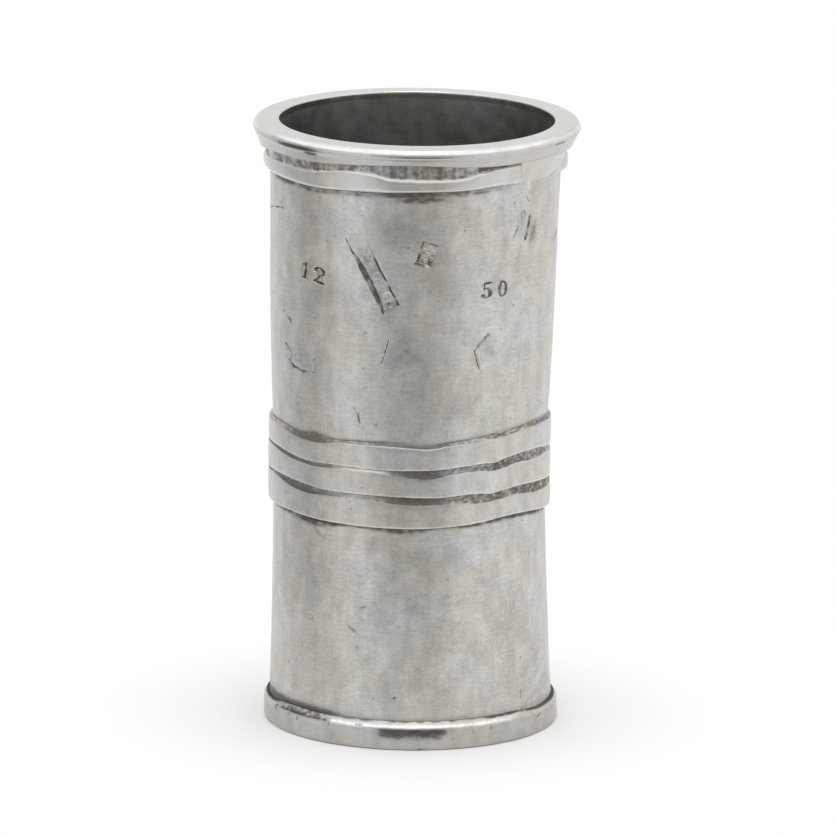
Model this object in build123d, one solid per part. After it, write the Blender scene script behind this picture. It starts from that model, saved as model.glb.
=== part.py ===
from build123d import *
import os

# A pewter liquid measure: a waisted, open-topped cup of two soldered barrels, with a heavy
# mouth ring, a neck moulding, three straps round the waist and a foot ring.
# Millimetres, +Z up, origin on the table under the axis. The front faces -Y.

# ---- driving dimensions -------------------------------------------------------------------
BORE_D = 68.3          # mouth of a half-litre measure; every other size hangs on this one
HEIGHT = 151.9         # table to the top of the mouth ring
WALL = 2.0             # wall of both barrels

NECK_D = 72.0          # barrel just under the neck moulding
SHOULDER_D = 70.7      # upper barrel two thirds of the way up
SHOULDER_Z = 103.0
WAIST_D = 67.8         # seat of the three straps, the narrowest place
FOOT_SEAT_D = 70.6     # lower barrel where it stands in the foot ring

LIP_D = 81.6           # mouth ring at its widest
LIP_UNDER_D = 77.8     # mouth ring at its lower edge
LIP_H = 6.1            # mouth ring, top face to lower edge
LIP_TOP_T = 1.8        # the part of the mouth ring that covers the barrel's edge
LIP_WIDEST = 1.7       # widest place, below the top face
LIP_FLAT_D = 79.8      # outer edge of the flat top face
LIP_MID_D = 80.2       # half-way down the outside, a little fuller than straight
MOUTH_ROUND = 0.5      # rounding of the edge that the hand feels inside the mouth

MOULDING_H = 5.6       # neck moulding, under the mouth ring
MOULDING_TOP_D = 76.4
FILLET_H = 0.6         # the square fillet at the top of the moulding
HOLLOW_D = 75.2        # half-way down the hollow under the fillet
HOLLOW_END_D = 74.8    # where the hollow meets the round below it
HOLLOW_END_H = 2.6     # that place, below the mouth ring
ROUND_START_D = 75.3   # top of the round, a small step out from the hollow
ROUND_D = 75.2         # half-way down the round
MOULDING_END_D = 73.8  # lower edge, an undercut step to the barrel

STRAP_D = 70.2         # outside of the straps on their crowns
STRAP_LOW_EDGE_D = 69.9   # lower edge, almost as proud as the crown
STRAP_HIGH_EDGE_D = 68.8  # upper edge, where the strap rolls in
STRAP_CROWN = 0.4      # height of the crown, as a share of the strap's height
STRAP_LOW_Z = 55.8     # lower edge of the lowest strap
STRAP_HEIGHTS = {"lower": 7.4, "middle": 6.6, "upper": 6.3}
STRAP_GAP = 0.4        # dark line between two straps

FOOT_D = 73.4          # foot ring
FOOT_H = 7.2           # table to the ledge
FOOT_FLANGE_T = 3.6    # the flat part that the barrel stands on
FOOT_HOLE_D = 61.0     # inside of the flange
FOOT_ROUND = 0.9       # rounding of the ledge's outer edge
FOOT_WEAR = 0.7        # rounding of the edge that wears on the table

BASE_T = 2.0           # bottom plate
BASE_FIT = 0.05        # the plate drops into the barrel with this much room, all round
LEG = 1.0              # size of the solder in the two corners of the base

LAP_H = 6.0            # half-lap joint of the two barrels, under the middle strap
LAP_Z = STRAP_LOW_Z + STRAP_HEIGHTS["lower"] + STRAP_GAP + STRAP_HEIGHTS["middle"] / 2
SEAT_OVER = 1.0        # the straps' seat runs this far past them
SEAT_RISE = 1.8        # height over which the seat runs out into the upper barrel

SEAM_W = 1.0           # soldered seams of the rolled barrels
SEAM_DEG = -39.5       # both seams, turned from +X: right of the front
BUTT_W = 0.8           # soldered butts of the straps and of the neck moulding
NECK_BUTT_DEG = -47.0   # the butt of the neck moulding, just left of the seams
STRAP_BUTT_DEG = -52.5  # the butts of the three straps, one above the other

QUARTER = 1 - 0.5**0.5  # how far the middle of a quarter round stands in from its corner

# ---- worked out from them -----------------------------------------------------------------
BORE_R = BORE_D / 2
LIP_BASE_Z = HEIGHT - LIP_H
BARREL_TOP_Z = HEIGHT - LIP_TOP_T
MOULDING_Z = LIP_BASE_Z - MOULDING_H
WAIST_R = WAIST_D / 2
WAIST_IN_R = WAIST_R - WALL
LAP_R = WAIST_R - WALL / 2
LAP_LOW_Z = LAP_Z - LAP_H / 2
LAP_HIGH_Z = LAP_Z + LAP_H / 2
STRAP_TOP_Z = STRAP_LOW_Z + sum(STRAP_HEIGHTS.values()) + 2 * STRAP_GAP
SEAT_LOW_Z = STRAP_LOW_Z - SEAT_OVER
SEAT_HIGH_Z = STRAP_TOP_Z + SEAT_OVER / 2
FOOT_SEAT_R = FOOT_SEAT_D / 2
BASE_R = FOOT_SEAT_R - WALL
BASE_TOP_Z = FOOT_FLANGE_T + BASE_T


def at(r, z):
    """A point of a section, at radius r and height z."""
    return (r, 0, z)


def line(*points):
    """A run of straight edges through points given as (radius, height)."""
    return Polyline(*[at(r, z) for r, z in points])


def arc(start, middle, end):
    """A round stretch of a section through three points given as (radius, height)."""
    return ThreePointArc(at(*start), at(*middle), at(*end))


def turned(*edges):
    """The ring made by turning a closed section round the measure's axis."""
    return revolve(make_face(Curve() + list(edges)), Axis.Z, 360)


def slot(angle, width):
    """A radial cutter through one side of the measure, for a seam or a butt."""
    cutter = Box(LIP_D / 2, width, HEIGHT, align=(Align.MIN, Align.CENTER, Align.MIN))
    return Rot(0, 0, angle) * cutter


# ---- the two barrels ----------------------------------------------------------------------
def upper_shell():
    """Upper barrel before its seam is cut: swells gently from the waist to the mouth."""
    top = (NECK_D / 2, MOULDING_Z)
    rise = (WAIST_R + 0.3, SEAT_HIGH_Z + SEAT_RISE)
    inner = (BORE_R, MOULDING_Z)
    return turned(
        line((WAIST_R, LAP_LOW_Z), (WAIST_R, SEAT_HIGH_Z), rise),
        arc(rise, (SHOULDER_D / 2, SHOULDER_Z), top),
        line(top, (NECK_D / 2, BARREL_TOP_Z), (BORE_R, BARREL_TOP_Z), inner),
        arc(inner, (SHOULDER_D / 2 - WALL, SHOULDER_Z), (WAIST_IN_R, SEAT_HIGH_Z)),
        line(
            (WAIST_IN_R, SEAT_HIGH_Z),
            (WAIST_IN_R, LAP_HIGH_Z),
            (LAP_R, LAP_HIGH_Z),
            (LAP_R, LAP_LOW_Z),
            (WAIST_R, LAP_LOW_Z),
        ),
    )


def lower_shell():
    """Lower barrel before its seam is cut: tapers from the foot to the waist."""
    return turned(
        line(
            (FOOT_SEAT_R, FOOT_FLANGE_T),
            (FOOT_SEAT_R, FOOT_H),
            (WAIST_R, SEAT_LOW_Z),
            (WAIST_R, LAP_LOW_Z),
            (LAP_R, LAP_LOW_Z),
            (LAP_R, LAP_HIGH_Z),
            (WAIST_IN_R, LAP_HIGH_Z),
            (WAIST_IN_R, SEAT_LOW_Z),
            (BASE_R, FOOT_H),
            (BASE_R, FOOT_FLANGE_T),
            (FOOT_SEAT_R, FOOT_FLANGE_T),
        )
    )


def barrel(shell):
    """A shell with its seam cut open, as it is after rolling."""
    return shell - slot(SEAM_DEG, SEAM_W)


def seam_solder(shell):
    """The strip of solder that closes the seam, flush inside and out."""
    return shell & slot(SEAM_DEG, SEAM_W)


# ---- the mouth ----------------------------------------------------------------------------
def lip_ring():
    """Mouth ring: a flat top over the barrel's edge and a full, rounded outer bead."""
    flat_r = LIP_FLAT_D / 2
    lip_r = LIP_D / 2
    bore_edge = (BORE_R, HEIGHT - MOUTH_ROUND)
    bore_mid = (BORE_R + QUARTER * MOUTH_ROUND, HEIGHT - QUARTER * MOUTH_ROUND)
    bore_top = (BORE_R + MOUTH_ROUND, HEIGHT)
    top_edge = (flat_r, HEIGHT)
    edge_mid = (lip_r - QUARTER * (lip_r - flat_r), HEIGHT - QUARTER * LIP_WIDEST)
    widest = (lip_r, HEIGHT - LIP_WIDEST)
    outside = (LIP_MID_D / 2, HEIGHT - (LIP_WIDEST + LIP_H) / 2)
    under = (LIP_UNDER_D / 2, LIP_BASE_Z)
    return turned(
        arc(bore_edge, bore_mid, bore_top),
        line(bore_top, top_edge),
        arc(top_edge, edge_mid, widest),
        arc(widest, outside, under),
        line(
            under,
            (NECK_D / 2, LIP_BASE_Z),
            (NECK_D / 2, BARREL_TOP_Z),
            (BORE_R, BARREL_TOP_Z),
            bore_edge,
        ),
    )


def moulding_ring():
    """Neck moulding before its butt is cut: a fillet, a hollow and a round."""
    fillet_z = LIP_BASE_Z - FILLET_H
    step_z = LIP_BASE_Z - HOLLOW_END_H
    hollow_top = (MOULDING_TOP_D / 2, fillet_z)
    hollow_mid = (HOLLOW_D / 2, (fillet_z + step_z) / 2)
    hollow_end = (HOLLOW_END_D / 2, step_z)
    round_top = (ROUND_START_D / 2, step_z)
    round_mid = (ROUND_D / 2, (step_z + MOULDING_Z) / 2)
    round_end = (MOULDING_END_D / 2, MOULDING_Z)
    return turned(
        line((NECK_D / 2, LIP_BASE_Z), (MOULDING_TOP_D / 2, LIP_BASE_Z), hollow_top),
        arc(hollow_top, hollow_mid, hollow_end),
        line(hollow_end, round_top),
        arc(round_top, round_mid, round_end),
        line(round_end, (NECK_D / 2, MOULDING_Z), (NECK_D / 2, LIP_BASE_Z)),
    )


# ---- the straps ---------------------------------------------------------------------------
def strap_ring(low_z, height):
    """One strap before its butt is cut: flat inside, crowned outside, rolled in at the top."""
    high_z = low_z + height
    low_edge = (STRAP_LOW_EDGE_D / 2, low_z)
    crown = (STRAP_D / 2, low_z + STRAP_CROWN * height)
    high_edge = (STRAP_HIGH_EDGE_D / 2, high_z)
    return turned(
        line(high_edge, (WAIST_R, high_z), (WAIST_R, low_z), low_edge),
        arc(low_edge, crown, high_edge),
    )


def strap_rings():
    """The three straps by name, from the lowest up, a dark line apart."""
    rings = {}
    low_z = STRAP_LOW_Z
    for name, height in STRAP_HEIGHTS.items():
        rings[name] = strap_ring(low_z, height)
        low_z += height + STRAP_GAP
    return rings


# ---- the foot and the bottom --------------------------------------------------------------
def foot_ring():
    """Foot ring: a flange under the barrel and a low collar round it."""
    foot_r = FOOT_D / 2
    table_edge = (foot_r - FOOT_WEAR, 0)
    wear_mid = (foot_r - QUARTER * FOOT_WEAR, QUARTER * FOOT_WEAR)
    side_low = (foot_r, FOOT_WEAR)
    side_top = (foot_r, FOOT_H - FOOT_ROUND)
    round_mid = (foot_r - QUARTER * FOOT_ROUND, FOOT_H - QUARTER * FOOT_ROUND)
    ledge_edge = (foot_r - FOOT_ROUND, FOOT_H)
    return turned(
        line((FOOT_HOLE_D / 2, 0), table_edge),
        arc(table_edge, wear_mid, side_low),
        line(side_low, side_top),
        arc(side_top, round_mid, ledge_edge),
        line(
            ledge_edge,
            (FOOT_SEAT_R, FOOT_H),
            (FOOT_SEAT_R, FOOT_FLANGE_T),
            (FOOT_HOLE_D / 2, FOOT_FLANGE_T),
            (FOOT_HOLE_D / 2, 0),
        ),
    )


def base_plate():
    """Bottom plate, dropped into the barrel onto the foot ring's flange."""
    return Pos(0, 0, FOOT_FLANGE_T) * extrude(Circle(BASE_R - BASE_FIT), BASE_T)


def base_solder():
    """Solder round the inside corner of the bottom, which makes the measure tight."""
    corner = (BASE_R, BASE_TOP_Z)
    on_plate = (BASE_R - LEG, BASE_TOP_Z)
    on_wall = (BASE_R, BASE_TOP_Z + LEG)
    return turned(line(corner, on_wall, on_plate, corner))


def foot_solder():
    """Solder round the underside corner between the flange and the bottom plate."""
    corner = (FOOT_HOLE_D / 2, FOOT_FLANGE_T)
    on_plate = (FOOT_HOLE_D / 2 - LEG, FOOT_FLANGE_T)
    on_flange = (FOOT_HOLE_D / 2, FOOT_FLANGE_T - LEG)
    return turned(line(corner, on_plate, on_flange, corner))


def pieces():
    """Every piece of the measure, by node name."""
    upper = upper_shell()
    lower = lower_shell()
    moulding = moulding_ring()
    straps = strap_rings()
    neck_butt = slot(NECK_BUTT_DEG, BUTT_W)
    strap_butt = slot(STRAP_BUTT_DEG, BUTT_W)
    made = {
        "upper_barrel": barrel(upper),
        "upper_seam_solder": seam_solder(upper),
        "lower_barrel": barrel(lower),
        "lower_seam_solder": seam_solder(lower),
        "lip_ring": lip_ring(),
        "neck_moulding": moulding - neck_butt,
        "neck_butt_solder": moulding & neck_butt,
        "foot_ring": foot_ring(),
        "base_plate": base_plate(),
        "base_solder": base_solder(),
        "foot_solder": foot_solder(),
    }
    for name, strap in straps.items():
        made[f"{name}_strap"] = strap - strap_butt
    made["strap_butt_solder"] = Compound([strap & strap_butt for strap in straps.values()])
    return made


def brimful_ml():
    """What the measure holds when it is full to the top face of the mouth ring."""
    cavity = Pos(0, 0, BASE_TOP_Z) * extrude(Circle(BORE_R), HEIGHT - BASE_TOP_Z)
    for wall in (upper_shell(), lower_shell(), lip_ring(), base_solder()):
        cavity -= wall
    return max(solid.volume for solid in cavity.solids()) / 1000


def main():
    os.makedirs("parts", exist_ok=True)
    total = 0
    for name, solid in pieces().items():
        export_step(solid, f"parts/{name}.step")
        total += solid.volume
        print(f"{name:20s} {solid.volume:9.1f} mm3")
    print(f"all pieces {total:.0f} mm3, brimful {brimful_ml():.1f} ml")


main()
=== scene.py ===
# %% [markdown]
# # A pewter measure
# This lesson dresses a pewter measure: an open, waisted cup of two soldered barrels, with a heavy
# mouth ring, a moulding under it, three straps round the waist and a foot ring. The CAD pieces give
# every size and place. Each of them is made again here as a piece with the marks of hand work on it:
# wavering edges, punch marks, dents, grime in the hollows and brightness on the edges.

# %% Load the frame
from collections import namedtuple
from math import ceil, cos, radians, sin

import bmesh
import bpy
import numpy as np
from mathutils import Matrix, Vector, noise


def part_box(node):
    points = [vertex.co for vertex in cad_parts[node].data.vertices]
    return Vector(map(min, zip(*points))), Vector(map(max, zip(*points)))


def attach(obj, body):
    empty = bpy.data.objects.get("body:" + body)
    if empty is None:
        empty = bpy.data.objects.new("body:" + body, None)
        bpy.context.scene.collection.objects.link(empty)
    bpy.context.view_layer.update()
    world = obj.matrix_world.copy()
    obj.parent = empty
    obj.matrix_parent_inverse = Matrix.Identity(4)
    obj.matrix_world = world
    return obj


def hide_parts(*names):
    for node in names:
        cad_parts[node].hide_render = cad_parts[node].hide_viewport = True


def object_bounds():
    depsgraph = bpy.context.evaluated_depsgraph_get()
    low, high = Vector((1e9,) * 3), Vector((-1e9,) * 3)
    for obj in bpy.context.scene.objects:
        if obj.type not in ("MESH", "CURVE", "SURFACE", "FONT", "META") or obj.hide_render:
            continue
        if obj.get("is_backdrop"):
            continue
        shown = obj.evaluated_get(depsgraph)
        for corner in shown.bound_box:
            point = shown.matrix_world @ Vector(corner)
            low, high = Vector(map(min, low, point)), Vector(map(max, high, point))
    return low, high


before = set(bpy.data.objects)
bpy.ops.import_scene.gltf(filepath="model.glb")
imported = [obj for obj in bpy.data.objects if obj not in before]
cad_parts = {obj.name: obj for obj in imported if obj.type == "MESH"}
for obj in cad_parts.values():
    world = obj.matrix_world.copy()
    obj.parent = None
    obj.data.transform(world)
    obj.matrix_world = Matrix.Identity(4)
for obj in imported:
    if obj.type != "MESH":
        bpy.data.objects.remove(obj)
cad_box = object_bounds()
MM = 0.001
print("CAD nodes:", ", ".join(sorted(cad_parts)))

# %% [markdown]
# ## Sizes
# Every piece of this object is round, so its CAD node says all that is needed with four sizes:
# the inner and outer radius, and the lowest and highest point. Reading them from the frame keeps
# this script right if the CAD sizes change.

# %% Read the sizes of the pieces from the frame
Size = namedtuple("Size", "inner outer low high")


def size_of(node):
    """Inner and outer radius, lowest and highest point of a CAD node, in millimetres."""
    points = np.array([v.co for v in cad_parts[node].data.vertices]) / MM
    radius = np.hypot(points[:, 0], points[:, 1])
    return Size(radius.min(), radius.max(), points[:, 2].min(), points[:, 2].max())


def azimuth_of(node):
    """Where a narrow node stands, in degrees round the axis: 0 in front, + to the right."""
    middle = sum(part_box(node), Vector()) / 2
    return np.degrees(np.arctan2(middle.x, -middle.y))


NODES = (
    "upper_barrel", "lower_barrel", "lip_ring", "neck_moulding", "upper_strap", "middle_strap",
    "lower_strap", "foot_ring", "base_plate", "base_solder", "foot_solder",
)
cad = {node: size_of(node) for node in NODES}
for node in NODES:
    print(f"{node:14s} r {cad[node].inner:.1f}-{cad[node].outer:.1f}", end="  ")
    print(f"z {cad[node].low:.1f}-{cad[node].high:.1f} mm")

# %% [markdown]
# ## Camera
# The measure is seen from a little above, through a long lens. A long lens far away keeps the
# ellipses of the mouth and the foot nearly alike, as they are in the photograph. The camera could
# be turned by hand, but three sizes and one matrix say the same and can be changed one by one.

# %% Set up the camera
LOOK_AT = Vector((1.06, 0, 75.83)) * MM
ELEVATION = radians(13.06)
DISTANCE = 2.5
ROLL = radians(0.65)


def add_camera():
    data = bpy.data.cameras.new("camera")
    data.lens = 432.8
    data.sensor_width = 36
    camera = bpy.data.objects.new("camera", data)
    back = Vector((0, -cos(ELEVATION), sin(ELEVATION)))
    turn = back.to_track_quat("Z", "Y").to_matrix().to_4x4() @ Matrix.Rotation(ROLL, 4, "Z")
    camera.matrix_world = Matrix.Translation(LOOK_AT + DISTANCE * back) @ turn
    bpy.context.scene.collection.objects.link(camera)
    bpy.context.scene.camera = camera
    return camera


camera = add_camera()
print("camera at", [round(value, 3) for value in camera.location])

# %% [markdown]
# ## Small helpers for node trees
# Materials and the studio's world are node trees. Four short functions keep them readable: one adds
# a node and joins its inputs, the others wrap the three nodes that are used most.

# %% Node helpers
def join(tree, socket, value):
    """Sets a socket to a plain value, or links it if the value is another node's output."""
    if isinstance(value, bpy.types.NodeSocket):
        tree.links.new(value, socket)
    else:
        socket.default_value = value


def add(tree, kind, settings=(), **inputs):
    """A new shader node; inputs are named as on the node, with _ for a space."""
    node = tree.nodes.new("ShaderNode" + kind)
    for name, value in dict(settings).items():
        setattr(node, name, value)
    for name, value in inputs.items():
        join(tree, node.inputs[name.replace("_", " ")], value)
    return node


def maths(tree, operation, first, second=0.0):
    node = add(tree, "Math", {"operation": operation})
    join(tree, node.inputs[0], first)
    join(tree, node.inputs[1], second)
    return node.outputs[0]


def mix(tree, factor, first, second, blend="MIX"):
    """A mix of two colours."""
    node = add(tree, "Mix", {"data_type": "RGBA", "blend_type": blend})
    for index, value in ((0, factor), (6, first), (7, second)):
        join(tree, node.inputs[index], value)
    return node.outputs[2]


def fade(tree, value, low, high, to_low=0.0, to_high=1.0):
    """A soft step: to_low below low, to_high above high."""
    node = add(tree, "MapRange", {"interpolation_type": "SMOOTHSTEP"})
    for index, number in enumerate((value, low, high, to_low, to_high)):
        join(tree, node.inputs[index], number)
    return node.outputs[0]


print("node helpers:", ", ".join(helper.__name__ for helper in (join, add, maths, mix, fade)))

# %% [markdown]
# ## The studio
# Metal looks like what it mirrors, so the surroundings matter more than the lamps. The real measure
# stands on a small white table in a white room. A dark gap lies behind the camera, and weaker ones
# at both sides. The gaps could be black cards, but cards would stand in the way of other views.
# Here the world is plain white for the camera and for the light that falls on things, and only
# mirrored rays see the gaps, in a band on both sides of the horizon.

# %% Build the world
# Angle round the world, in degrees: 180 is towards the camera, 90 to its left and 270 to its right.
BAND = (
    (0.0, 1.04), (25, 1.06), (45, 0.95), (62, 0.80), (76, 0.68), (94, 0.60), (108, 0.80), (122, 1.04),
    (141, 1.06), (157, 0.60), (203, 0.64), (219, 1.00), (242, 1.12), (312, 1.10), (335, 1.05),
)
BAND_LOW, BAND_HIGH = 0.40, 0.62
CEILING = 1.5


def build_world():
    world = bpy.data.worlds.new("studio")
    world.use_nodes = True
    tree = world.node_tree
    tree.nodes.clear()
    direction = add(tree, "TexCoord").outputs["Generated"]
    parts = add(tree, "SeparateXYZ", Vector=direction).outputs
    turn = maths(tree, "ARCTAN2", maths(tree, "MULTIPLY", parts[0], -1.0), parts[1])
    share = maths(tree, "FRACT", maths(tree, "DIVIDE", turn, radians(360)))
    band = add(tree, "ValToRGB", Fac=share)
    steps = band.color_ramp.elements
    while len(steps) < len(BAND):
        steps.new(0.5)
    for step, (angle, level) in zip(steps, BAND):
        step.position = angle / 360
        step.color = (level, level, level, 1)
    above = fade(tree, parts[2], BAND_LOW, BAND_HIGH)
    mirrored = mix(tree, above, band.outputs[0], (CEILING, CEILING, CEILING, 1))
    glossy = add(tree, "LightPath").outputs["Is Glossy Ray"]
    colour = mix(tree, glossy, (1, 1, 1, 1), mirrored)
    background = add(tree, "Background", Color=colour, Strength=1.0)
    add(tree, "OutputWorld", Surface=background.outputs[0])
    bpy.context.scene.world = world


build_world()
bpy.context.scene.view_settings.view_transform = "Standard"
print("world band:", len(BAND), "stops")

# %% [markdown]
# A soft lamp overhead puts the thin white lights on the rounded edges, and the pale table under the
# measure catches its shadow. The table is a plain disc: it is part of the stage, not of the object.

# %% Build the table and the lamp
TABLE_R = 0.14
LAMP_HEIGHT = 1.4


def build_table():
    bm = bmesh.new()
    bmesh.ops.create_circle(bm, cap_ends=True, segments=96, radius=TABLE_R)
    mesh = bpy.data.meshes.new("table")
    bm.to_mesh(mesh)
    table = bpy.data.objects.new("table", mesh)
    bpy.context.scene.collection.objects.link(table)
    material = bpy.data.materials.new("white_table")
    material.use_nodes = True
    tree = material.node_tree
    tree.nodes.clear()
    paint = add(tree, "BsdfDiffuse", Color=(0.96, 0.96, 0.96, 1))
    add(tree, "OutputMaterial", Surface=paint.outputs[0])
    mesh.materials.append(material)
    table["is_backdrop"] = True


def add_lamp(name, place, size, power):
    data = bpy.data.lights.new(name, "AREA")
    data.shape = "DISK"
    data.size = size
    data.energy = power
    lamp = bpy.data.objects.new(name, data)
    place = Vector(place)
    aim = (place - LOOK_AT).to_track_quat("Z", "Y").to_matrix().to_4x4()
    lamp.matrix_world = Matrix.Translation(place) @ aim
    bpy.context.scene.collection.objects.link(lamp)


build_table()
add_lamp("overhead", (0.0, -0.06, LAMP_HEIGHT), size=0.6, power=2.6)
print("table", TABLE_R, "m, lamp", LAMP_HEIGHT, "m up")

# %% [markdown]
# ## Turning a section
# All the big pieces were cast or rolled and then turned on a lathe. The same way works here: draw
# half of the section as a flat outline, round its corners, cut its long edges into short ones so
# that the surface can take detail, and spin it round the axis. Hundreds of steps in one spin are
# slow, because each step looks through the whole mesh, so the section is spun into a slice and the
# slice is repeated. A rolled barrel spins a little less than a full turn, because its seam is
# filled by another piece.

# %% Section and spin
ROUND_SEGMENTS = 4
SLICES = 16
TOUCHING = 1e-6        # metres: points nearer than this are one point


def section(corners, step, inner_step, fine):
    """An outline of (radius, height, rounding) corners, cut into edges no longer than step.

    The side that looks at the axis takes inner_step, and the outside takes fine_step between the
    low and high of each (low, high, fine_step) of fine."""
    bm = bmesh.new()
    middle = sum(radius for radius, _, _ in corners) / len(corners) * MM
    points = [bm.verts.new((radius * MM, 0, height * MM)) for radius, height, _ in corners]
    bm.faces.new(points)
    for point, (_, _, rounding) in zip(points, corners):
        if rounding:
            bmesh.ops.bevel(
                bm, geom=[point], offset=rounding * MM, segments=ROUND_SEGMENTS, profile=0.5,
                affect="VERTICES", material=-1,
            )
    bmesh.ops.delete(bm, geom=bm.faces[:], context="FACES_ONLY")
    for edge in bm.edges[:]:
        inner = max(vert.co.x for vert in edge.verts) < middle
        cuts = ceil(edge.calc_length() / ((inner_step if inner else step) * MM)) - 1
        if cuts > 0:
            bmesh.ops.subdivide_edges(bm, edges=[edge], cuts=cuts)
    for low, high, fine_step in fine:
        for edge in bm.edges[:]:
            center = (edge.verts[0].co + edge.verts[1].co) / 2 / MM
            cuts = ceil(edge.calc_length() / (fine_step * MM)) - 1
            if cuts > 0 and center.x > middle / MM and low < center.z < high:
                bmesh.ops.subdivide_edges(bm, edges=[edge], cuts=cuts)
    return bm


def turned(corners, step, steps, start=0.0, sweep=360.0, inner_step=None, fine=()):
    """The section spun round the axis, from one azimuth over a number of degrees."""
    bm = section(corners, step, inner_step or step, fine)
    slices = SLICES if steps > SLICES else 1
    axis = {"cent": (0, 0, 0), "axis": (0, 0, 1)}
    aim = Matrix.Rotation(radians(start - 90), 3, "Z")
    bmesh.ops.rotate(bm, verts=bm.verts, cent=(0, 0, 0), matrix=aim)
    bmesh.ops.spin(
        bm, geom=bm.verts[:] + bm.edges[:], angle=radians(sweep / slices),
        steps=steps // slices, use_merge=False, **axis,
    )
    if slices > 1:
        bmesh.ops.spin(
            bm, geom=bm.verts[:] + bm.edges[:] + bm.faces[:], steps=slices - 1,
            angle=radians(sweep * (slices - 1) / slices), use_duplicate=True, **axis,
        )
        bmesh.ops.remove_doubles(bm, verts=bm.verts, dist=TOUCHING)
    open_edges = [edge for edge in bm.edges if edge.is_boundary]
    if open_edges:
        bmesh.ops.edgeloop_fill(bm, edges=open_edges)
    bmesh.ops.recalc_face_normals(bm, faces=bm.faces)
    return bm


sample = turned([(10, 0, 0), (12, 0, 0), (12, 5, 1), (10, 5, 0)], step=2.0, steps=8)
print("a small test ring has", len(sample.faces), "faces")
sample.free()

# %% [markdown]
# ## Moving points round a cylinder
# Hand work is easiest to describe on the unrolled wall: how far round, how far out, how high. These
# helpers read a mesh in those terms and put it back. The whole measure leans and bows by about a
# millimetre, and it is slightly oval, so putting a piece back also applies the shared bow: all the
# pieces then still fit each other.

# %% Read and place the points
WALL_R = 35.5          # radius used to turn degrees into millimetres along the wall
OVAL = 0.10            # how much wider than deep the measure is, each way


def smooth_through(pairs, around=0):
    """A smooth curve through a few (place, value) pairs; around=360 closes it on itself."""
    place, value = np.array(pairs, float).T
    if around:
        place = np.concatenate((place - around, place, place + around))
        value = np.tile(value, 3)
    slope = np.gradient(value, place)

    def curve(x):
        x = np.clip(x, place[0], place[-1])
        k = np.clip(np.searchsorted(place, x) - 1, 0, len(place) - 2)
        span = place[k + 1] - place[k]
        t = (x - place[k]) / span
        start = (2 * t**3 - 3 * t**2 + 1) * value[k] + (t**3 - 2 * t**2 + t) * span * slope[k]
        end = (3 * t**2 - 2 * t**3) * value[k + 1] + (t**3 - t**2) * span * slope[k + 1]
        return start + end

    return curve


bow = smooth_through(((0, 0), (26, -0.5), (49, -0.85), (64, -1.0), (90, -0.75), (130, -0.4), (152, 0)))


def read_points(bm):
    """Azimuth in degrees, radius and height in millimetres of every vertex."""
    points = np.array([v.co for v in bm.verts]) / MM
    azimuth = np.degrees(np.arctan2(points[:, 0], -points[:, 1]))
    return azimuth, np.hypot(points[:, 0], points[:, 1]), points[:, 2]


def place_points(bm, azimuth, radius, height):
    """Moves every vertex to its azimuth, radius and height, with the shared bow and oval."""
    turn = np.radians(azimuth)
    radius = radius + OVAL * np.cos(2 * turn + 0.6) * np.minimum(1, radius / WALL_R)
    x = radius * np.sin(turn) + bow(height)
    y = -radius * np.cos(turn)
    for vert, point in zip(bm.verts, np.column_stack((x, y, height)) * MM):
        vert.co = point


def ease(t):
    """0 below 0, 1 above 1, and a soft rise between."""
    t = np.clip(t, 0, 1)
    return t * t * (3 - 2 * t)


def between(x, low, rise, high, fall):
    """1 between low and high, with a soft rise after low and a soft fall before high."""
    return ease((x - low) / rise) * ease((high - x) / fall)


def bell(t):
    """1 at 0, and almost nothing past 2 on both sides."""
    return np.exp(-(t**2))


def ripple(azimuth, height, length, tall, seed):
    """Smooth random values from -1 to 1 over the wall, length by tall millimetres a ripple."""
    turn = np.radians(azimuth)
    across = WALL_R / length
    spots = zip(across * np.sin(turn), across * np.cos(turn), height / tall + seed * 31.7)
    return np.array([noise.noise(Vector(spot)) for spot in spots])


def refine(bm, wanted):
    """Cuts the quads in two each way where wanted(azimuth, radius, height) is true."""
    azimuth, radius, height = read_points(bm)
    inside = wanted(azimuth, radius, height)
    bm.verts.index_update()
    edges = [e for e in bm.edges if inside[e.verts[0].index] and inside[e.verts[1].index]]
    bmesh.ops.subdivide_edges(bm, edges=edges, cuts=1, use_grid_fill=True)


print("bow at mid height", round(float(bow(70.0)), 2), "mm")

# %% [markdown]
# ## Finishing a piece
# A finished piece is a mesh object that rides on the body, hides its CAD node and takes its finish
# as a material. It also carries two values per point, which the materials read: grime, which also
# holds painted shade and painted dark reflections, and worn edges with painted highlights. They could
# be worked out by the renderer, but values on the mesh stay with the piece when it is exported.

# %% Make the objects
SHARP_ANGLE = 62       # edges that fold more than this stay crisp, such as the ends of a barrel


def finish_piece(name, bm, node, material, grime=None, wear=None):
    """Turns the bmesh into the piece that stands for a CAD node."""
    mesh = bpy.data.meshes.new(name)
    bm.to_mesh(mesh)
    bm.free()
    # Grime also holds painted shade and painted dark reflections, and the second value also holds
    # painted highlights on worn edges.
    for label, values in (("grime", grime), ("wear", wear)):
        attribute = mesh.attributes.new(label, "FLOAT", "POINT")
        if values is not None:
            attribute.data.foreach_set("value", np.clip(values, 0, 1).astype(np.float32))
    mesh.shade_smooth()
    mesh.set_sharp_from_angle(angle=radians(SHARP_ANGLE))
    mesh.materials.append(material)
    piece = bpy.data.objects.new(name, mesh)
    bpy.context.scene.collection.objects.link(piece)
    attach(piece, "root")
    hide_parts(node)
    triangles = sum(len(face.vertices) - 2 for face in mesh.polygons)
    print(f"{name}: {triangles} triangles")
    return piece


print("edges stay sharp above", SHARP_ANGLE, "degrees")

# %% [markdown]
# ## Pewter
# Old pewter is satin, not mirror-bright. Its grey drifts between cool and warm, fine lines run round
# it from the lathe, hollows hold brown grime, and raised edges are rubbed bright. These effects are
# wanted on every piece in other strengths, so they are one node group with named inputs.

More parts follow.
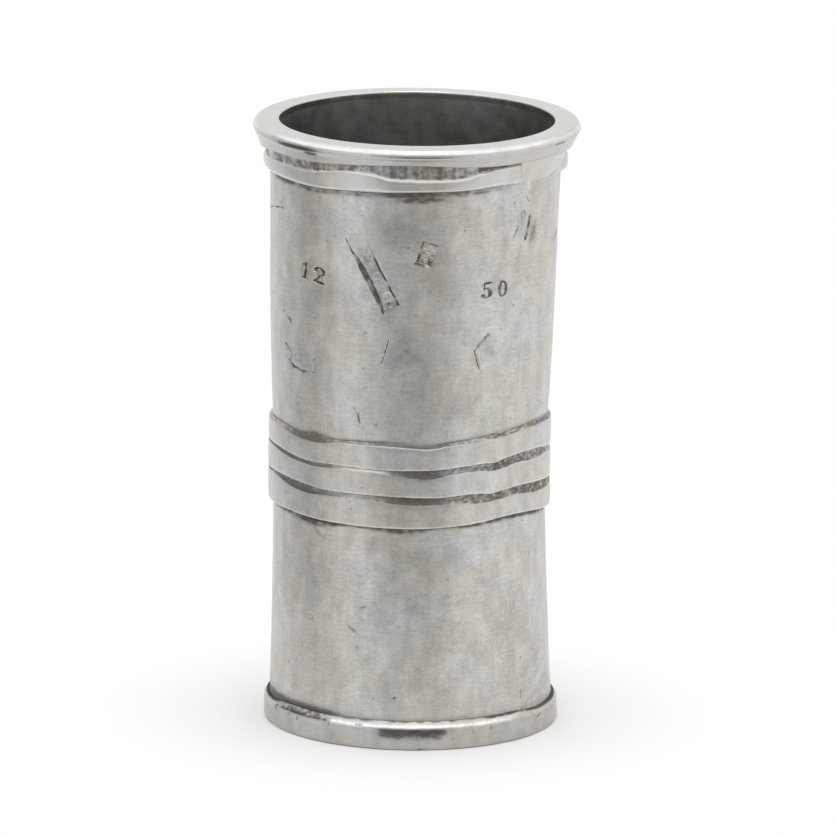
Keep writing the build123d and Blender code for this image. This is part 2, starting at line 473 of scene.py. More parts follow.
# %% The shared group of pewter effects
def new_group(name, inputs, outputs):
    """An empty node group with its sockets; returns the tree and its two end nodes."""
    group = bpy.data.node_groups.new(name, "ShaderNodeTree")
    for label, kind, value in inputs:
        socket = group.interface.new_socket(label, in_out="INPUT", socket_type="NodeSocket" + kind)
        socket.default_value = value
    for label, kind in outputs:
        group.interface.new_socket(label, in_out="OUTPUT", socket_type="NodeSocket" + kind)
    return group, group.nodes.new("NodeGroupInput"), group.nodes.new("NodeGroupOutput")


def clouds(tree, where, scale, detail=3.0, stretch=None):
    """Soft random patches, from 0 to 1; stretch squeezes them along X, Y and Z."""
    if stretch:
        where = add(tree, "Mapping", Vector=where, Scale=stretch).outputs[0]
    return add(tree, "TexNoise", Vector=where, Scale=scale, Detail=detail).outputs[0]


# The pale colour of worn edges, also used for painted highlights.
RUBBED_AND_HIGHLIGHT_COLOUR = (0.80, 0.79, 0.77, 1)


def build_pewter_group():
    inputs = (
        ("Cool", "Color", (0.50, 0.50, 0.495, 1)), ("Warm", "Color", (0.50, 0.48, 0.44, 1)),
        ("Grime Colour", "Color", (0.085, 0.075, 0.065, 1)), ("Grime", "Float", 0.0),
        ("Wear", "Float", 0.0), ("Mottle", "Float", 0.12), ("Grain", "Float", 0.14),
        ("Lines", "Float", 0.08), ("Pits", "Float", 0.5), ("Roughness", "Float", 0.34),
    )
    outputs = (("Color", "Color"), ("Roughness", "Float"), ("Height", "Float"))
    tree, start, end = new_group("old_pewter", inputs, outputs)
    given = start.outputs
    where = add(tree, "TexCoord").outputs["Object"]
    broad = clouds(tree, where, 70.0)
    patch = clouds(tree, where, 260.0, 4.0)
    grain = clouds(tree, where, 1500.0, 3.0)
    lines = clouds(tree, where, 1.0, 3.0, (260.0, 260.0, 2600.0))
    streak = clouds(tree, where, 1.0, 2.0, (300.0, 300.0, 110.0))
    tint = mix(tree, fade(tree, broad, 0.30, 0.60), given["Cool"], given["Warm"])

    def plus(first, second):
        return maths(tree, "ADD", first, second)

    def times(first, second):
        return maths(tree, "MULTIPLY", first, second)

    def centred(texture):
        """A texture that ran from 0 to 1, moved so that its middle is 0."""
        return maths(tree, "SUBTRACT", texture, 0.5)

    # The tint of the metal, lighter and darker in patches, grains, turned lines and streaks.
    shade = times(centred(patch), given["Mottle"])
    for texture, amount in ((grain, "Grain"), (lines, "Lines"), (streak, "Mottle")):
        shade = plus(shade, times(centred(texture), given[amount]))
    level = plus(times(shade, 2.4), 1.0)
    grey = add(tree, "CombineColor", Red=level, Green=level, Blue=level).outputs[0]
    tone = mix(tree, 1.0, tint, grey, "MULTIPLY")
    # A few cells of a Voronoi texture hold a small dark pit.
    holes = add(tree, "TexVoronoi", Vector=where, Scale=330.0, Randomness=1.0)
    rare = add(tree, "SeparateColor", Color=holes.outputs["Color"]).outputs[0]
    dots = fade(tree, holes.outputs["Distance"], 0.05, 0.16, 1.0, 0.0)
    pit = times(times(dots, fade(tree, rare, 0.84, 0.88)), given["Pits"])
    # The grime input also holds the painted shade and painted dark reflections that the pieces lay on.
    # Half of the grime has a broken edge, and half is a soft stain.
    rough_edge = plus(times(patch, 0.55), times(grain, 0.45))
    broken = plus(given["Grime"], times(centred(rough_edge), 1.1))
    crisp = times(fade(tree, broken, 0.3, 0.7), fade(tree, given["Grime"], 0.0, 0.25))
    dirt = plus(times(crisp, 0.5), times(given["Grime"], 0.5))
    dirt = maths(tree, "MAXIMUM", dirt, pit)
    tone = mix(tree, dirt, tone, given["Grime Colour"])
    # Worn edges take this pale colour, and so do the painted highlights that the pieces lay on.
    rubbed_and_highlight = times(given["Wear"], fade(tree, rough_edge, 0.35, 0.6, 0.5, 1.0))
    tone = mix(tree, rubbed_and_highlight, tone, RUBBED_AND_HIGHLIGHT_COLOUR)
    # Dirt is dull and lies a little deeper, and rubbed metal is smooth.
    gloss = plus(given["Roughness"], times(centred(patch), 0.16))
    gloss = maths(tree, "SUBTRACT", plus(gloss, times(dirt, 0.22)), times(rubbed_and_highlight, 0.08))
    bumps = plus(times(lines, given["Lines"]), times(grain, given["Grain"]))
    bumps = plus(times(bumps, 3.0), times(patch, 0.5))
    bumps = maths(tree, "SUBTRACT", bumps, times(dirt, 0.25))
    for label, value in (("Color", tone), ("Roughness", gloss), ("Height", bumps)):
        tree.links.new(value, end.inputs[label])
    return tree


pewter_group = build_pewter_group()
print("group inputs:", len(pewter_group.interface.items_tree))

# %% [markdown]
# Each finish is then a short recipe: the group with its own values, a Bump node and one metal
# shader. The shader stays outside the group, so the material still exports.

# %% Make the finishes
def pewter(name, bump=0.03, **values):
    """A pewter material; values set the group's inputs, bump is the depth of its relief in mm."""
    material = bpy.data.materials.new(name)
    material.use_nodes = True
    tree = material.node_tree
    tree.nodes.clear()
    look = tree.nodes.new("ShaderNodeGroup")
    look.node_tree = pewter_group
    for label, value in values.items():
        look.inputs[label.replace("_", " ")].default_value = value
    for label in ("Grime", "Wear"):
        given = add(tree, "Attribute", {"attribute_name": label.lower()}).outputs["Fac"]
        tree.links.new(given, look.inputs[label])
    relief = add(tree, "Bump", Height=look.outputs["Height"], Distance=bump * MM, Strength=1.0)
    metal = add(
        tree, "BsdfPrincipled", Base_Color=look.outputs["Color"], Metallic=1.0,
        Roughness=look.outputs["Roughness"], Normal=relief.outputs[0],
    )
    add(tree, "OutputMaterial", Surface=metal.outputs[0])
    return material


barrel_finish = pewter("rubbed_barrel", Mottle=0.2, Grain=0.2, Lines=0.14)
# The foot's grime colour is near black, because it also paints the dark reflections on the foot's edge.
foot_finish = pewter(
    "worn_foot", bump=0.02, Grime_Colour=(0.055, 0.055, 0.055, 1), Roughness=0.28,
    Mottle=0.16, Grain=0.1, Lines=0.06,
)
ring_finish = pewter(
    "polished_ring", bump=0.01, Cool=(0.53, 0.53, 0.525, 1), Warm=(0.53, 0.51, 0.475, 1),
    Roughness=0.25, Mottle=0.08, Grain=0.04, Lines=0.04,
)
strap_finish = pewter("rubbed_strap", Roughness=0.31, Mottle=0.18, Grain=0.18)
inside_finish = pewter(
    "dull_inside", Cool=(0.42, 0.425, 0.42, 1), Warm=(0.42, 0.40, 0.375, 1), Roughness=0.36,
    Lines=0.14, Mottle=0.14,
)
solder_finish = pewter(
    "pale_solder", Cool=(0.515, 0.515, 0.515, 1), Warm=(0.515, 0.495, 0.455, 1), Mottle=0.2,
)
base_finish = pewter(
    "dull_base", Cool=(0.36, 0.36, 0.355, 1), Warm=(0.34, 0.32, 0.295, 1), Roughness=0.5,
)
print("finishes:", [m.name for m in bpy.data.materials if m.use_nodes])

# %% [markdown]
# ## Punch marks
# The wall was struck with punches: a long panel, a square, numbers, and a few that hardly took. Each
# mark is a small function in its own frame, u along it and v across it, which says how deep the
# metal is pressed and how much grime it holds. A texture could draw them, but pressed metal needs
# real walls that catch the light. The marks here are plain: pellets, rings, bars and numbers.

# %% Lines, rings and panels
def stroke(u, v, path, depth, slope=0.14):
    """A pressed line along a path of (u, v, half width) points: the depth at each (u, v)."""
    inside = np.full(np.shape(u), -9.0)
    for (u0, v0, w0), (u1, v1, w1) in zip(path, path[1:]):
        du, dv = u1 - u0, v1 - v0
        t = np.clip(((u - u0) * du + (v - v0) * dv) / (du * du + dv * dv), 0, 1)
        inside = np.maximum(inside, w0 + t * (w1 - w0) - np.hypot(u - u0 - t * du, v - v0 - t * dv))
    return depth * ease(inside / slope + 0.5)


def bend(middle_u, middle_v, wide, tall, start, end, thin, thick):
    """Part of an oval as a path, thin at its top and bottom and thick at its sides."""
    turns = np.radians(np.linspace(start, end, 15))
    return [
        (middle_u + wide * cos(a), middle_v + tall * sin(a), thin + (thick - thin) * abs(cos(a)))
        for a in turns
    ]


def pellet(u, v, middle_u, middle_v, radius, height):
    """A round raised or pressed dot."""
    return height * ease((radius - np.hypot(u - middle_u, v - middle_v)) / (0.5 * radius))


def dent(u, v, wide, tall, depth):
    """A soft hollow without edges."""
    return depth * np.exp(-((u / wide) ** 2) - (v / tall) ** 2)


print("middle of a stroke:", float(stroke(0.0, 0.0, [(-1, 0, 0.2), (1, 0, 0.2)], 0.3)), "mm deep")

# %% [markdown]
# The numbers are built from the same strokes and bends, in a frame 2 wide and 4 high.

# %% Digits
DIGITS = {
    "0": [bend(0, 0, 0.95, 1.9, 0, 360, 0.14, 0.36)],
    "1": [
        [(0.05, 1.9, 0.34), (0.05, -1.9, 0.34)],
        [(0.05, 1.85, 0.2), (-0.75, 1.25, 0.14)],
        [(-0.75, -1.95, 0.15), (0.85, -1.95, 0.15)],
    ],
    "2": [
        bend(0, 0.95, 0.95, 0.95, 165, -35, 0.16, 0.36) + [(-0.95, -1.7, 0.2)],
        [(-0.95, -1.75, 0.3), (0.95, -1.75, 0.34)],
        [(-0.8, 1.0, 0.34), (-0.75, 1.05, 0.34)],
    ],
    "5": [
        [(-0.6, 1.8, 0.2), (0.85, 1.85, 0.32)],
        [(-0.65, 1.8, 0.17), (-0.75, 0.25, 0.15)],
        bend(-0.1, -0.75, 1.05, 1.2, 125, -150, 0.16, 0.38),
        [(-0.85, -1.3, 0.36), (-0.8, -1.25, 0.36)],
    ],
}
DIGIT_SPACING = 4.8


def number(text, depth, wide, slope, dirt):
    """A mark of plain digits: how deep, how much wider, how soft its walls, and how dirty."""
    def cut(u, v):
        pressed = np.zeros(np.shape(u))
        for place, digit in enumerate(text):
            shift = (place - (len(text) - 1) / 2) * DIGIT_SPACING
            for path in DIGITS[digit]:
                pressed = np.maximum(pressed, stroke((u - shift) / wide, v, path, depth, slope))
        return pressed, dirt * pressed / depth
    return cut


print("digits ready:", ", ".join(DIGITS))

# %% [markdown]
# The long panel was struck aslant, so its lower left wall is wide and deep and its upper end is
# faint. Its floor has a worn row of rings, leaves and pellets.

# %% The panel and the square
def leaf(u, v, middle_u, middle_v, height):
    """Two bent strokes that meet at both ends."""
    foot_end = (middle_u - 1.1, middle_v - 0.7, 0.14)
    tip = (middle_u + 1.0, middle_v + 0.9, 0.14)
    bends = ((middle_u - 0.3, middle_v + 0.6, 0.2), (middle_u + 0.4, middle_v - 0.5, 0.2))
    sides = [stroke(u, v, [foot_end, bend_point, tip], height, 0.3) for bend_point in bends]
    return np.maximum(*sides)


def long_panel(u, v):
    """The long punch: 20 by 5 mm, deepest along its lower left wall."""
    bulge = np.clip(1 - ((u - 2.2) / 9.2) ** 2, 0, 1)
    lower_wall = 0.3 + 1.05 * bulge
    floor = (0.24 + 0.32 * bulge) * (0.35 + 0.65 * ease((u + 10) / 6))
    across = (v + 2.55) / lower_wall
    sides = np.minimum(ease(across), ease((2.45 - v) / 0.35))
    inside = np.minimum(sides, ease((9.9 - np.abs(u)) / 0.4))
    relief = stroke(u, v, bend(7.4, 0.4, 1.0, 1.2, 0, 360, 0.2, 0.26), 0.17, 0.25)
    relief += leaf(u, v, 4.6, 0.3, 0.15)
    relief += stroke(u, v, bend(1.7, 0.5, 0.85, 1.0, 0, 360, 0.18, 0.22), 0.13, 0.25)
    relief += pellet(u, v, 1.7, 0.5, 0.4, 0.12) + pellet(u, v, 7.4, 0.4, 0.45, 0.10)
    relief += leaf(u, v, -1.2, 0.3, 0.12) + pellet(u, v, 3.1, 1.2, 0.4, 0.10)
    relief += pellet(u, v, -3.4, 0.9, 0.5, 0.10) + pellet(u, v, -3.8, -0.6, 0.5, 0.09)
    relief += stroke(u, v, bend(-6.0, 0.3, 0.9, 1.0, 0, 360, 0.18, 0.2), 0.06, 0.3)
    depth = floor * inside - relief * inside * ease((v + 1.9) / 0.6)
    # The deep lower wall is darkened partly as grime and partly as painted shade, and the end walls as
    # painted shade where they would catch a highlight.
    shade = 0.8 + 0.2 * ease((across - 0.3) / 0.5)
    wall = shade * between(across, -0.05, 0.2, 1.2, 0.2) * ease((u + 11.2) / 1.8)
    edge = 0.9 * between(v, 1.6, 0.3, 2.5, 0.12) * ease((u + 6.0) / 5.0)
    end = 0.5 * ease((u - 9.3) / 0.2) * (np.abs(v) < 2.5)
    hollow = np.clip(0.46 * inside * (1 - 3.5 * relief), 0, 1) * ease((u + 9) / 12)
    grime = np.maximum.reduce((wall, edge, end, hollow))
    return depth, grime * (np.abs(u) < 10.4)


def square_punch(u, v):
    """The square punch: sharp at its left and top, and fading into a hollow at its lower right, where
    painted shade darkens the hollow and the lower wall.
    """
    fading = 1 - 0.9 * ease((u + 0.8) / 3.2)
    inside = np.minimum(ease((u + 2.3) / 0.4), ease((2.9 - v) / 0.35))
    inside = np.minimum(inside, ease((v + 3.4) / 0.7))
    flower = pellet(u, v, 0.2, -0.2, 0.7, 0.2)
    for turn in np.radians((30, 90, 150, 210, 270, 330)):
        flower += pellet(u, v, 0.2 + 1.25 * cos(turn), -0.2 + 1.7 * sin(turn), 0.6, 0.2)
    relief = flower * inside * ease((3.2 - u) / 1.5)
    depth = 0.50 * inside * fading - relief + dent(u - 1.6, v + 1.6, 3.0, 2.2, 0.30)
    left_wall = 0.75 * ease((-1.2 - u) / 0.6)
    top_wall = 0.7 * ease((v - 2.0) / 0.4) * ease((2.8 - u) / 1.5)
    lower = 0.6 * ease((1.6 - v) / 1.5) * ease((3.6 - u) / 2.5)
    grime = np.maximum.reduce((left_wall, top_wall, lower))
    grime = inside * grime * (1 - np.clip(3.0 * relief, 0, 0.75))
    # Painted shade: a soft dark patch in the dent at the lower right, and a dark band on the lower wall
    # where light would fall.
    painted_dark_patch = dent(u - 1.2, v + 2.0, 3.2, 2.4, 0.45)
    painted_shade_low_wall = 0.85 * bell((v + 3.2) / 0.45) * between(u, -2.6, 0.4, 1.6, 2.0)
    return depth, np.maximum.reduce((grime, painted_dark_patch, painted_shade_low_wall))


for punch in (long_panel, square_punch):
    depth, _ = punch(np.zeros(1), np.zeros(1))
    print(punch.__name__, "is", round(float(depth[0]), 2), "mm deep in its middle")

# %% [markdown]
# The other marks hardly took: a slanted bar with a ring, a broken crescent, a chevron and parts of
# panels. A few strokes each are enough.

# %% The faint marks
def slanted_bar(u, v):
    """A bar, a ring and a stroke side by side, with a shallow hollow right of them, darkened as painted
    shade.
    """
    bar = stroke(u, v, [(0.5, 2.6, 0.5), (-0.9, -2.7, 0.45)], 0.34)
    ridge = stroke(u, v, [(0.45, 2.2, 0.12), (-0.7, -2.0, 0.12)], 0.16)
    ring = stroke(u, v, bend(-2.1, 3.6, 0.62, 0.85, 0, 360, 0.16, 0.2), 0.22)
    left = stroke(u, v, [(-3.6, 0.8, 0.2), (-5.1, -1.9, 0.3)], 0.20)
    # The shallow patch right of the bar is darkened as painted shade.
    patch = 0.34 * between(u, -0.2, 1.2, 5.2, 2.5) * ease((5.0 - np.abs(v + 1.5)) / 3)
    low = stroke(u, v, [(-1.2, -5.5, 0.3), (1.5, -6.2, 0.3)], 0.08)
    depth = bar - ridge + ring + left + low + 0.12 * patch
    return depth, 2.4 * (bar - ridge) + 2.6 * ring + 2.6 * left + 1.3 * patch + low


def broken_crescent(u, v):
    """A crescent, a small ring and the lower edge of a panel."""
    inner = [(-5.6, 2.6, 0.3), (-3.0, 1.2, 0.16), (-2.4, 0.2, 0.14), (-3.5, -1.6, 0.2)]
    lower = [(-3.9, -1.3, 0.26), (-1.8, -2.5, 0.4), (2.4, -3.1, 0.36), (6.2, -2.6, 0.16)]
    lines = np.maximum(stroke(u, v, inner, 0.24), stroke(u, v, lower, 0.30))
    ring = stroke(u, v, bend(0.2, 0.1, 1.15, 1.0, 0, 360, 0.14, 0.16), 0.14)
    dots = pellet(u, v, -5.0, 1.2, 0.35, 0.2) + pellet(u, v, -5.3, -0.6, 0.35, 0.2)
    end = stroke(u, v, [(6.1, -0.4, 0.16), (6.4, -2.2, 0.2)], 0.18)
    patch = 0.16 * between(u, 0.5, 1.5, 6.0, 1.5) * ease((2.6 - np.abs(v)) / 1.0)
    depth = lines + ring + dots + end + 0.4 * patch
    return depth, 3.0 * lines + 3.4 * ring + 3.5 * dots + 3.0 * end + 2.2 * patch


def chevron(u, v):
    """Two strokes that meet, the corner of a square that hardly took."""
    upper_arm = [(1.9, 4.0, 0.42), (0.2, 2.4, 0.24), (-1.75, 0.3, 0.16)]
    lower_arm = [(-1.2, -1.6, 0.2), (-0.35, -4.2, 0.14)]
    line = stroke(u, v, upper_arm + lower_arm, 0.34, 0.22)
    facet = 0.24 * between(u, -1.6, 0.6, 2.6, 3.4) * ease((3.0 - np.abs(v - 0.6)) / 2.0)
    return line + facet, 1.9 * line


def panel_corner(u, v):
    """The left edge of a panel, and the soft hollow that the blow left beside it."""
    line = stroke(u, v, [(0.7, 3.2, 0.16), (0.1, 0.6, 0.14), (-0.9, -2.9, 0.22)], 0.30)
    hollow = dent(u - 3.4, v + 1.4, 4.0, 2.6, 0.42) * ease((u + 0.4) / 0.8)
    top = stroke(u, v, [(0.4, 5.2, 0.12), (2.2, 5.5, 0.18), (5.4, 5.3, 0.08)], 0.10)
    return line + hollow + top, 2.3 * line + 0.7 * hollow + 2.6 * top


def scratch(path, depth):
    """A mark made of one thin stroke."""
    def cut(u, v):
        pressed = stroke(u, v, path, depth, 0.2)
        return pressed, 0.8 * pressed / depth
    return cut


def smudge(wide, tall, dirt):
    """A soft dirty spot, barely pressed."""
    def cut(u, v):
        soft = ease(1.4 - np.hypot(u / wide, v / tall))
        return 0.08 * dirt * soft, dirt * soft
    return cut


def faint_ring(u, v):
    """A ring that was struck too lightly."""
    ring = stroke(u, v, bend(0, 0, 1.4, 1.3, 0, 360, 0.16, 0.2), 0.07)
    return ring, 3.0 * ring


FAINT = (slanted_bar, broken_crescent, chevron, panel_corner, faint_ring)
print("faint marks:", ", ".join(mark.__name__ for mark in FAINT))

# %% [markdown]
# Every mark has a place on the wall, a turn, and the half size of the patch that it needs, which
# tells later steps where the mesh has to be fine. Scratches and dirty spots of use are marks too:
# they are many and small, so each is one row of numbers. Most of the places at the front were
# measured on the photograph, with the same fitted camera as the wavering lines further on.

# %% Place the marks
Mark = namedtuple("Mark", "azimuth height turn half_u half_v cut")


def scratches(*rows):
    """Marks from rows of a mark's first five values, then the scratch's path and depth."""
    return tuple(Mark(*row[:5], scratch(*row[5:])) for row in rows)


def smudges(*rows):
    """Marks from rows of a mark's first five values, then the smudge's half sizes and dirt."""
    return tuple(Mark(*row[:5], smudge(*row[5:])) for row in rows)


UPPER_MARKS = (
    Mark(-16.5, 120.3, -61.1, 10.3, 2.9, long_panel),
    Mark(5.6, 125.3, -17.0, 3.4, 4.0, square_punch),
    Mark(-44.3, 118.0, -7.0, 4.4, 2.6, number("12", 0.24, 1.45, 0.35, 1.1)),
    Mark(34.7, 115.1, -2.0, 3.9, 2.4, number("50", 0.28, 1.15, 0.16, 0.85)),
    Mark(51.6, 129.3, 0.0, 6.2, 6.6, slanted_bar),
    Mark(-53.3, 95.6, 0.0, 7.0, 3.6, broken_crescent),
    Mark(28.9, 99.8, 0.0, 2.6, 4.8, chevron),
    Mark(-10.6, 100.3, 0.0, 7.5, 6.0, panel_corner),
    Mark(43.1, 86.0, 0.0, 1.8, 1.7, faint_ring),
    Mark(66.7, 82.6, 0.0, 1.8, 1.7, faint_ring),
) + scratches(
    (78.5, 124.2, 25, 2.6, 0.8, [(-2.2, 0, 0.22), (2.0, 0.2, 0.25)], 0.25),
    (-75.5, 131.0, 11.6, 7.0, 0.5, [(-6.8, 0, 0.1), (3.0, 0.1, 0.2), (6.8, -0.2, 0.12)], 0.15),
    (-88.0, 84.2, 88, 3.0, 0.5, [(-2.5, 0, 0.2), (0, 0.1, 0.3), (2.5, 0, 0.2)], 0.2),
    (-48.0, 110.0, -40, 1.4, 0.7, [(-0.8, 0.3, 0.14), (0.9, -0.1, 0.26)], 0.18),
    (-22.3, 84.0, -62, 3.0, 1.0, [(-2.4, -0.3, 0.08), (0.0, 0.4, 0.2), (2.2, -0.2, 0.1)], 0.12),
    (50.9, 136.6, 0, 1.6, 1.6, [(-1.0, 0.9, 0.06), (0.3, -0.7, 0.12)], 0.1),
) + smudges(
    (-48.3, 118.2, 0, 2.2, 2.8, 1.5, 2.3, 0.5), (-40.1, 117.6, 0, 2.2, 2.8, 1.4, 2.3, 0.5),
    (-63.5, 106.4, 0, 0.5, 0.5, 0.5, 0.4, 0.6), (-58.3, 104.7, -50, 0.9, 0.6, 1.1, 0.5, 0.75),
    (-18.7, 104.8, 0, 0.5, 0.5, 0.5, 0.5, 0.6), (-28.5, 112.6, 30, 0.5, 0.5, 0.6, 0.35, 0.5),
    (-43.0, 113.6, 20, 0.5, 0.5, 0.7, 0.4, 0.45), (-18.4, 135.9, 0, 0.5, 0.5, 0.5, 0.7, 0.4),
    (-75.0, 109.4, 0, 0.5, 0.5, 0.8, 0.5, 0.4), (-4.9, 126.6, 20, 0.6, 0.5, 0.8, 0.35, 0.45),
    (-2.0, 126.7, 0, 0.5, 0.5, 0.5, 0.4, 0.5), (20.0, 112.0, 0, 0.5, 0.4, 0.5, 0.3, 0.45),
    (21.3, 102.2, -20, 0.8, 0.4, 0.9, 0.35, 0.35),
)
print(len(UPPER_MARKS), "marks on the upper barrel")

# %% [markdown]
# A mark is pressed by asking each point of the wall where it lies in the mark's frame. A boolean cut
# would do it too, but it leaves long thin faces. So the mesh is cut finer round the marks and its
# points are moved, and a little random raggedness keeps the edges from looking new.

# %% Press the marks
RAGGED = 0.7           # millimetres: the size of the unevenness in a struck edge
NEAR = 4.0             # millimetres round a mark's patch in which its edge still shows


def in_mark(mark, azimuth, height):
    """The (u, v) of points of the wall in a mark's own frame."""
    across = np.radians(azimuth - mark.azimuth) * WALL_R
    rise = height - mark.height
    c, s = cos(radians(mark.turn)), sin(radians(mark.turn))
    return across * c + rise * s, rise * c - across * s


def near_marks(marks, margin, wall):
    """A test for refine: points of the wall's outer skin within a margin of some mark."""
    def wanted(azimuth, radius, height):
        found = np.zeros(len(azimuth), bool)
        for mark in marks:
            u, v = in_mark(mark, azimuth, height)
            found |= (np.abs(u) < mark.half_u + margin) & (np.abs(v) < mark.half_v + margin)
        return found & (wall.share(radius, height) > 0.9)
    return wanted


def strike(marks, azimuth, height):
    """Depth and grime of all the marks at each point of the wall, a little ragged and worn."""
    depth = np.zeros(len(azimuth))
    grime = np.zeros(len(azimuth))
    for mark in marks:
        u, v = in_mark(mark, azimuth, height)
        close = (np.abs(u) < mark.half_u + NEAR) & (np.abs(v) < mark.half_v + NEAR)
        place = (azimuth[close], height[close])
        ragged = ripple(*place, RAGGED, RAGGED, 41)
        worn = ripple(*place, 2.5 * RAGGED, 2.5 * RAGGED, 42)
        pressed, dirty = mark.cut(u[close] + 0.22 * ragged, v[close] + 0.16 * worn)
        depth[close] += pressed * (1 + 0.35 * worn)
        grime[close] = np.maximum(grime[close], dirty * (0.85 + 0.5 * worn + 0.3 * ragged))
    return depth, grime


depth, grime = strike(UPPER_MARKS[:1], np.array([-16.5]), np.array([120.3]))
print("the panel is pressed", round(float(depth[0]), 2), "mm at its middle")

# %% [markdown]
# The real wall also has wide, soft patches of tarnish between the marks. Each is a cloud that fades
# all round: an azimuth, a height, the half width and half height in millimetres, and a strength.

# %% Patches of tarnish
Cloud = namedtuple("Cloud", "azimuth height wide tall strength")
UPPER_CLOUDS = (
    Cloud(-4, 131.0, 10, 4, 0.40), Cloud(12, 118.5, 6, 4, 0.34), Cloud(-2, 99.0, 6, 3.5, 0.46),
    Cloud(4, 94.0, 7, 6, 0.30), Cloud(-36, 112.5, 6, 5, 0.32), Cloud(-46, 131.0, 5, 8, 0.28),
    Cloud(20, 88.0, 7, 4, 0.22),
    Cloud(130, 110.0, 12, 9, 0.30), Cloud(210, 95.0, 10, 12, 0.30), Cloud(175, 128.0, 14, 6, 0.26),
)
LOWER_CLOUDS = (
    Cloud(-45, 41.0, 8, 5, 0.24), Cloud(-36, 19.0, 7, 9, 0.22), Cloud(-11, 14.5, 5, 3, 0.24),
    Cloud(8, 47.0, 10, 4, 0.20), Cloud(48, 28.0, 4, 5, 0.20), Cloud(140, 30.0, 12, 10, 0.28),
    Cloud(205, 40.0, 12, 8, 0.28), Cloud(230, 15.0, 9, 5, 0.24),
)


def tarnished(patches, azimuth, height):
    """The tarnish of some wide patches at each point of the wall."""
    dirt = np.zeros(len(azimuth))
    uneven = 1 + 0.5 * ripple(azimuth, height, 2.5, 2.0, 45)
    for patch in patches:
        u = np.radians((azimuth - patch.azimuth + 180) % 360 - 180) * WALL_R / patch.wide
        v = (height - patch.height) / patch.tall
        dirt = np.maximum(dirt, patch.strength * np.exp(-(u**2) - v**2))
    return dirt * uneven


print(len(UPPER_CLOUDS) + len(LOWER_CLOUDS), "patches of tarnish")

# %% [markdown]
# ## Edges that waver
# The straps and mouldings were filed by eye, so their edges rise and fall by a millimetre. A smooth
# curve through a few places makes each line. At the front the heights of the edges were measured:
# points were picked on the photograph, a scratch program with a fitted camera turned them into
# degrees and millimetres, and they were thinned out and adjusted. Round the back they are made up.

# %% The wavering lines
NECK_LINE = smooth_through(
    ((-78, 140.0), (-61, 140.0), (-41, 139.7), (-24, 140.1), (-7, 140.3), (3, 140.5), (23, 140.7),
     (33, 141.1), (43, 141.0), (60, 140.8), (90, 139.8), (180, 140.2), (250, 140.0)), 360)
LIP_LINE = smooth_through(
    ((-82, 145.7), (-63, 146.5), (-44, 146.5), (-24, 147.1), (-5, 147.6), (7, 147.5), (18, 147.0),
     (28, 146.7), (51, 146.8), (72, 146.4), (90, 146.0), (130, 145.8), (200, 145.9), (250, 145.6)),
    360)
# Where the moulding's hollow ends below, as a share of its height, and how dark the wall under it is
# made there: partly stain and partly painted shade under the moulding.
HOLLOW_LINE = smooth_through(
    ((-75, 0.56), (-56, 0.58), (-43, 0.60), (-33, 0.70), (-26, 0.74), (-17, 0.64), (-10, 0.50),
     (0, 0.44), (12, 0.45), (20, 0.52), (26, 0.70), (33, 0.84), (43, 0.88), (84, 0.62), (120, 0.58),
     (180, 0.62), (230, 0.57)), 360)
NECK_STAIN_AND_SHADE = smooth_through(
    ((-78, 0.5), (-62, 0.95), (-55, 0.7), (-46, 0.9), (-36, 0.75), (-28, 0.65), (-18, 0.75), (-9, 0.9),
     (2, 1.0), (12, 0.85), (24, 0.75), (36, 0.55), (44, 0.15), (60, 0.1), (84, 0.2), (110, 0.6),
     (160, 0.5), (200, 0.7), (240, 0.5)), 360)
TOP_LINE = smooth_through(
    ((-85, 77.3), (-61, 77.5), (-54, 77.0), (-42, 77.8), (-32, 76.9), (-20, 77.2), (-3, 77.2),
     (6, 76.7), (21, 77.5), (38, 78.4), (48, 78.8), (69, 79.1), (85, 78.4), (110, 77.8), (150, 77.0),
     (200, 76.9), (240, 77.2)), 360)
HIGH_LINE = smooth_through(
    ((-85, 71.3), (-68, 71.5), (-45, 70.5), (-31, 70.7), (-10, 70.5), (9, 70.6), (32, 71.3),
     (37, 71.2), (42, 71.8), (50, 72.3), (64, 72.1), (80, 70.8), (120, 70.3), (170, 70.6),
     (230, 70.4)), 360)
MIDDLE_LINE = smooth_through(
    ((-84, 64.3), (-70, 64.8), (-52, 64.7), (-38, 64.1), (-10, 64.0), (12, 63.6), (29, 63.9),
     (36, 63.5), (42, 63.9), (50, 64.1), (68, 63.4), (86, 62.4), (120, 63.2), (180, 63.6),
     (230, 63.7)), 360)
LOW_LINE = smooth_through(
    ((-72, 56.4), (-58, 56.6), (-45, 56.3), (-20, 56.0), (5, 55.9), (20, 56.2), (31, 56.6),
     (44, 57.2), (55, 57.0), (74, 55.7), (120, 55.9), (180, 55.6), (240, 56.1)), 360)
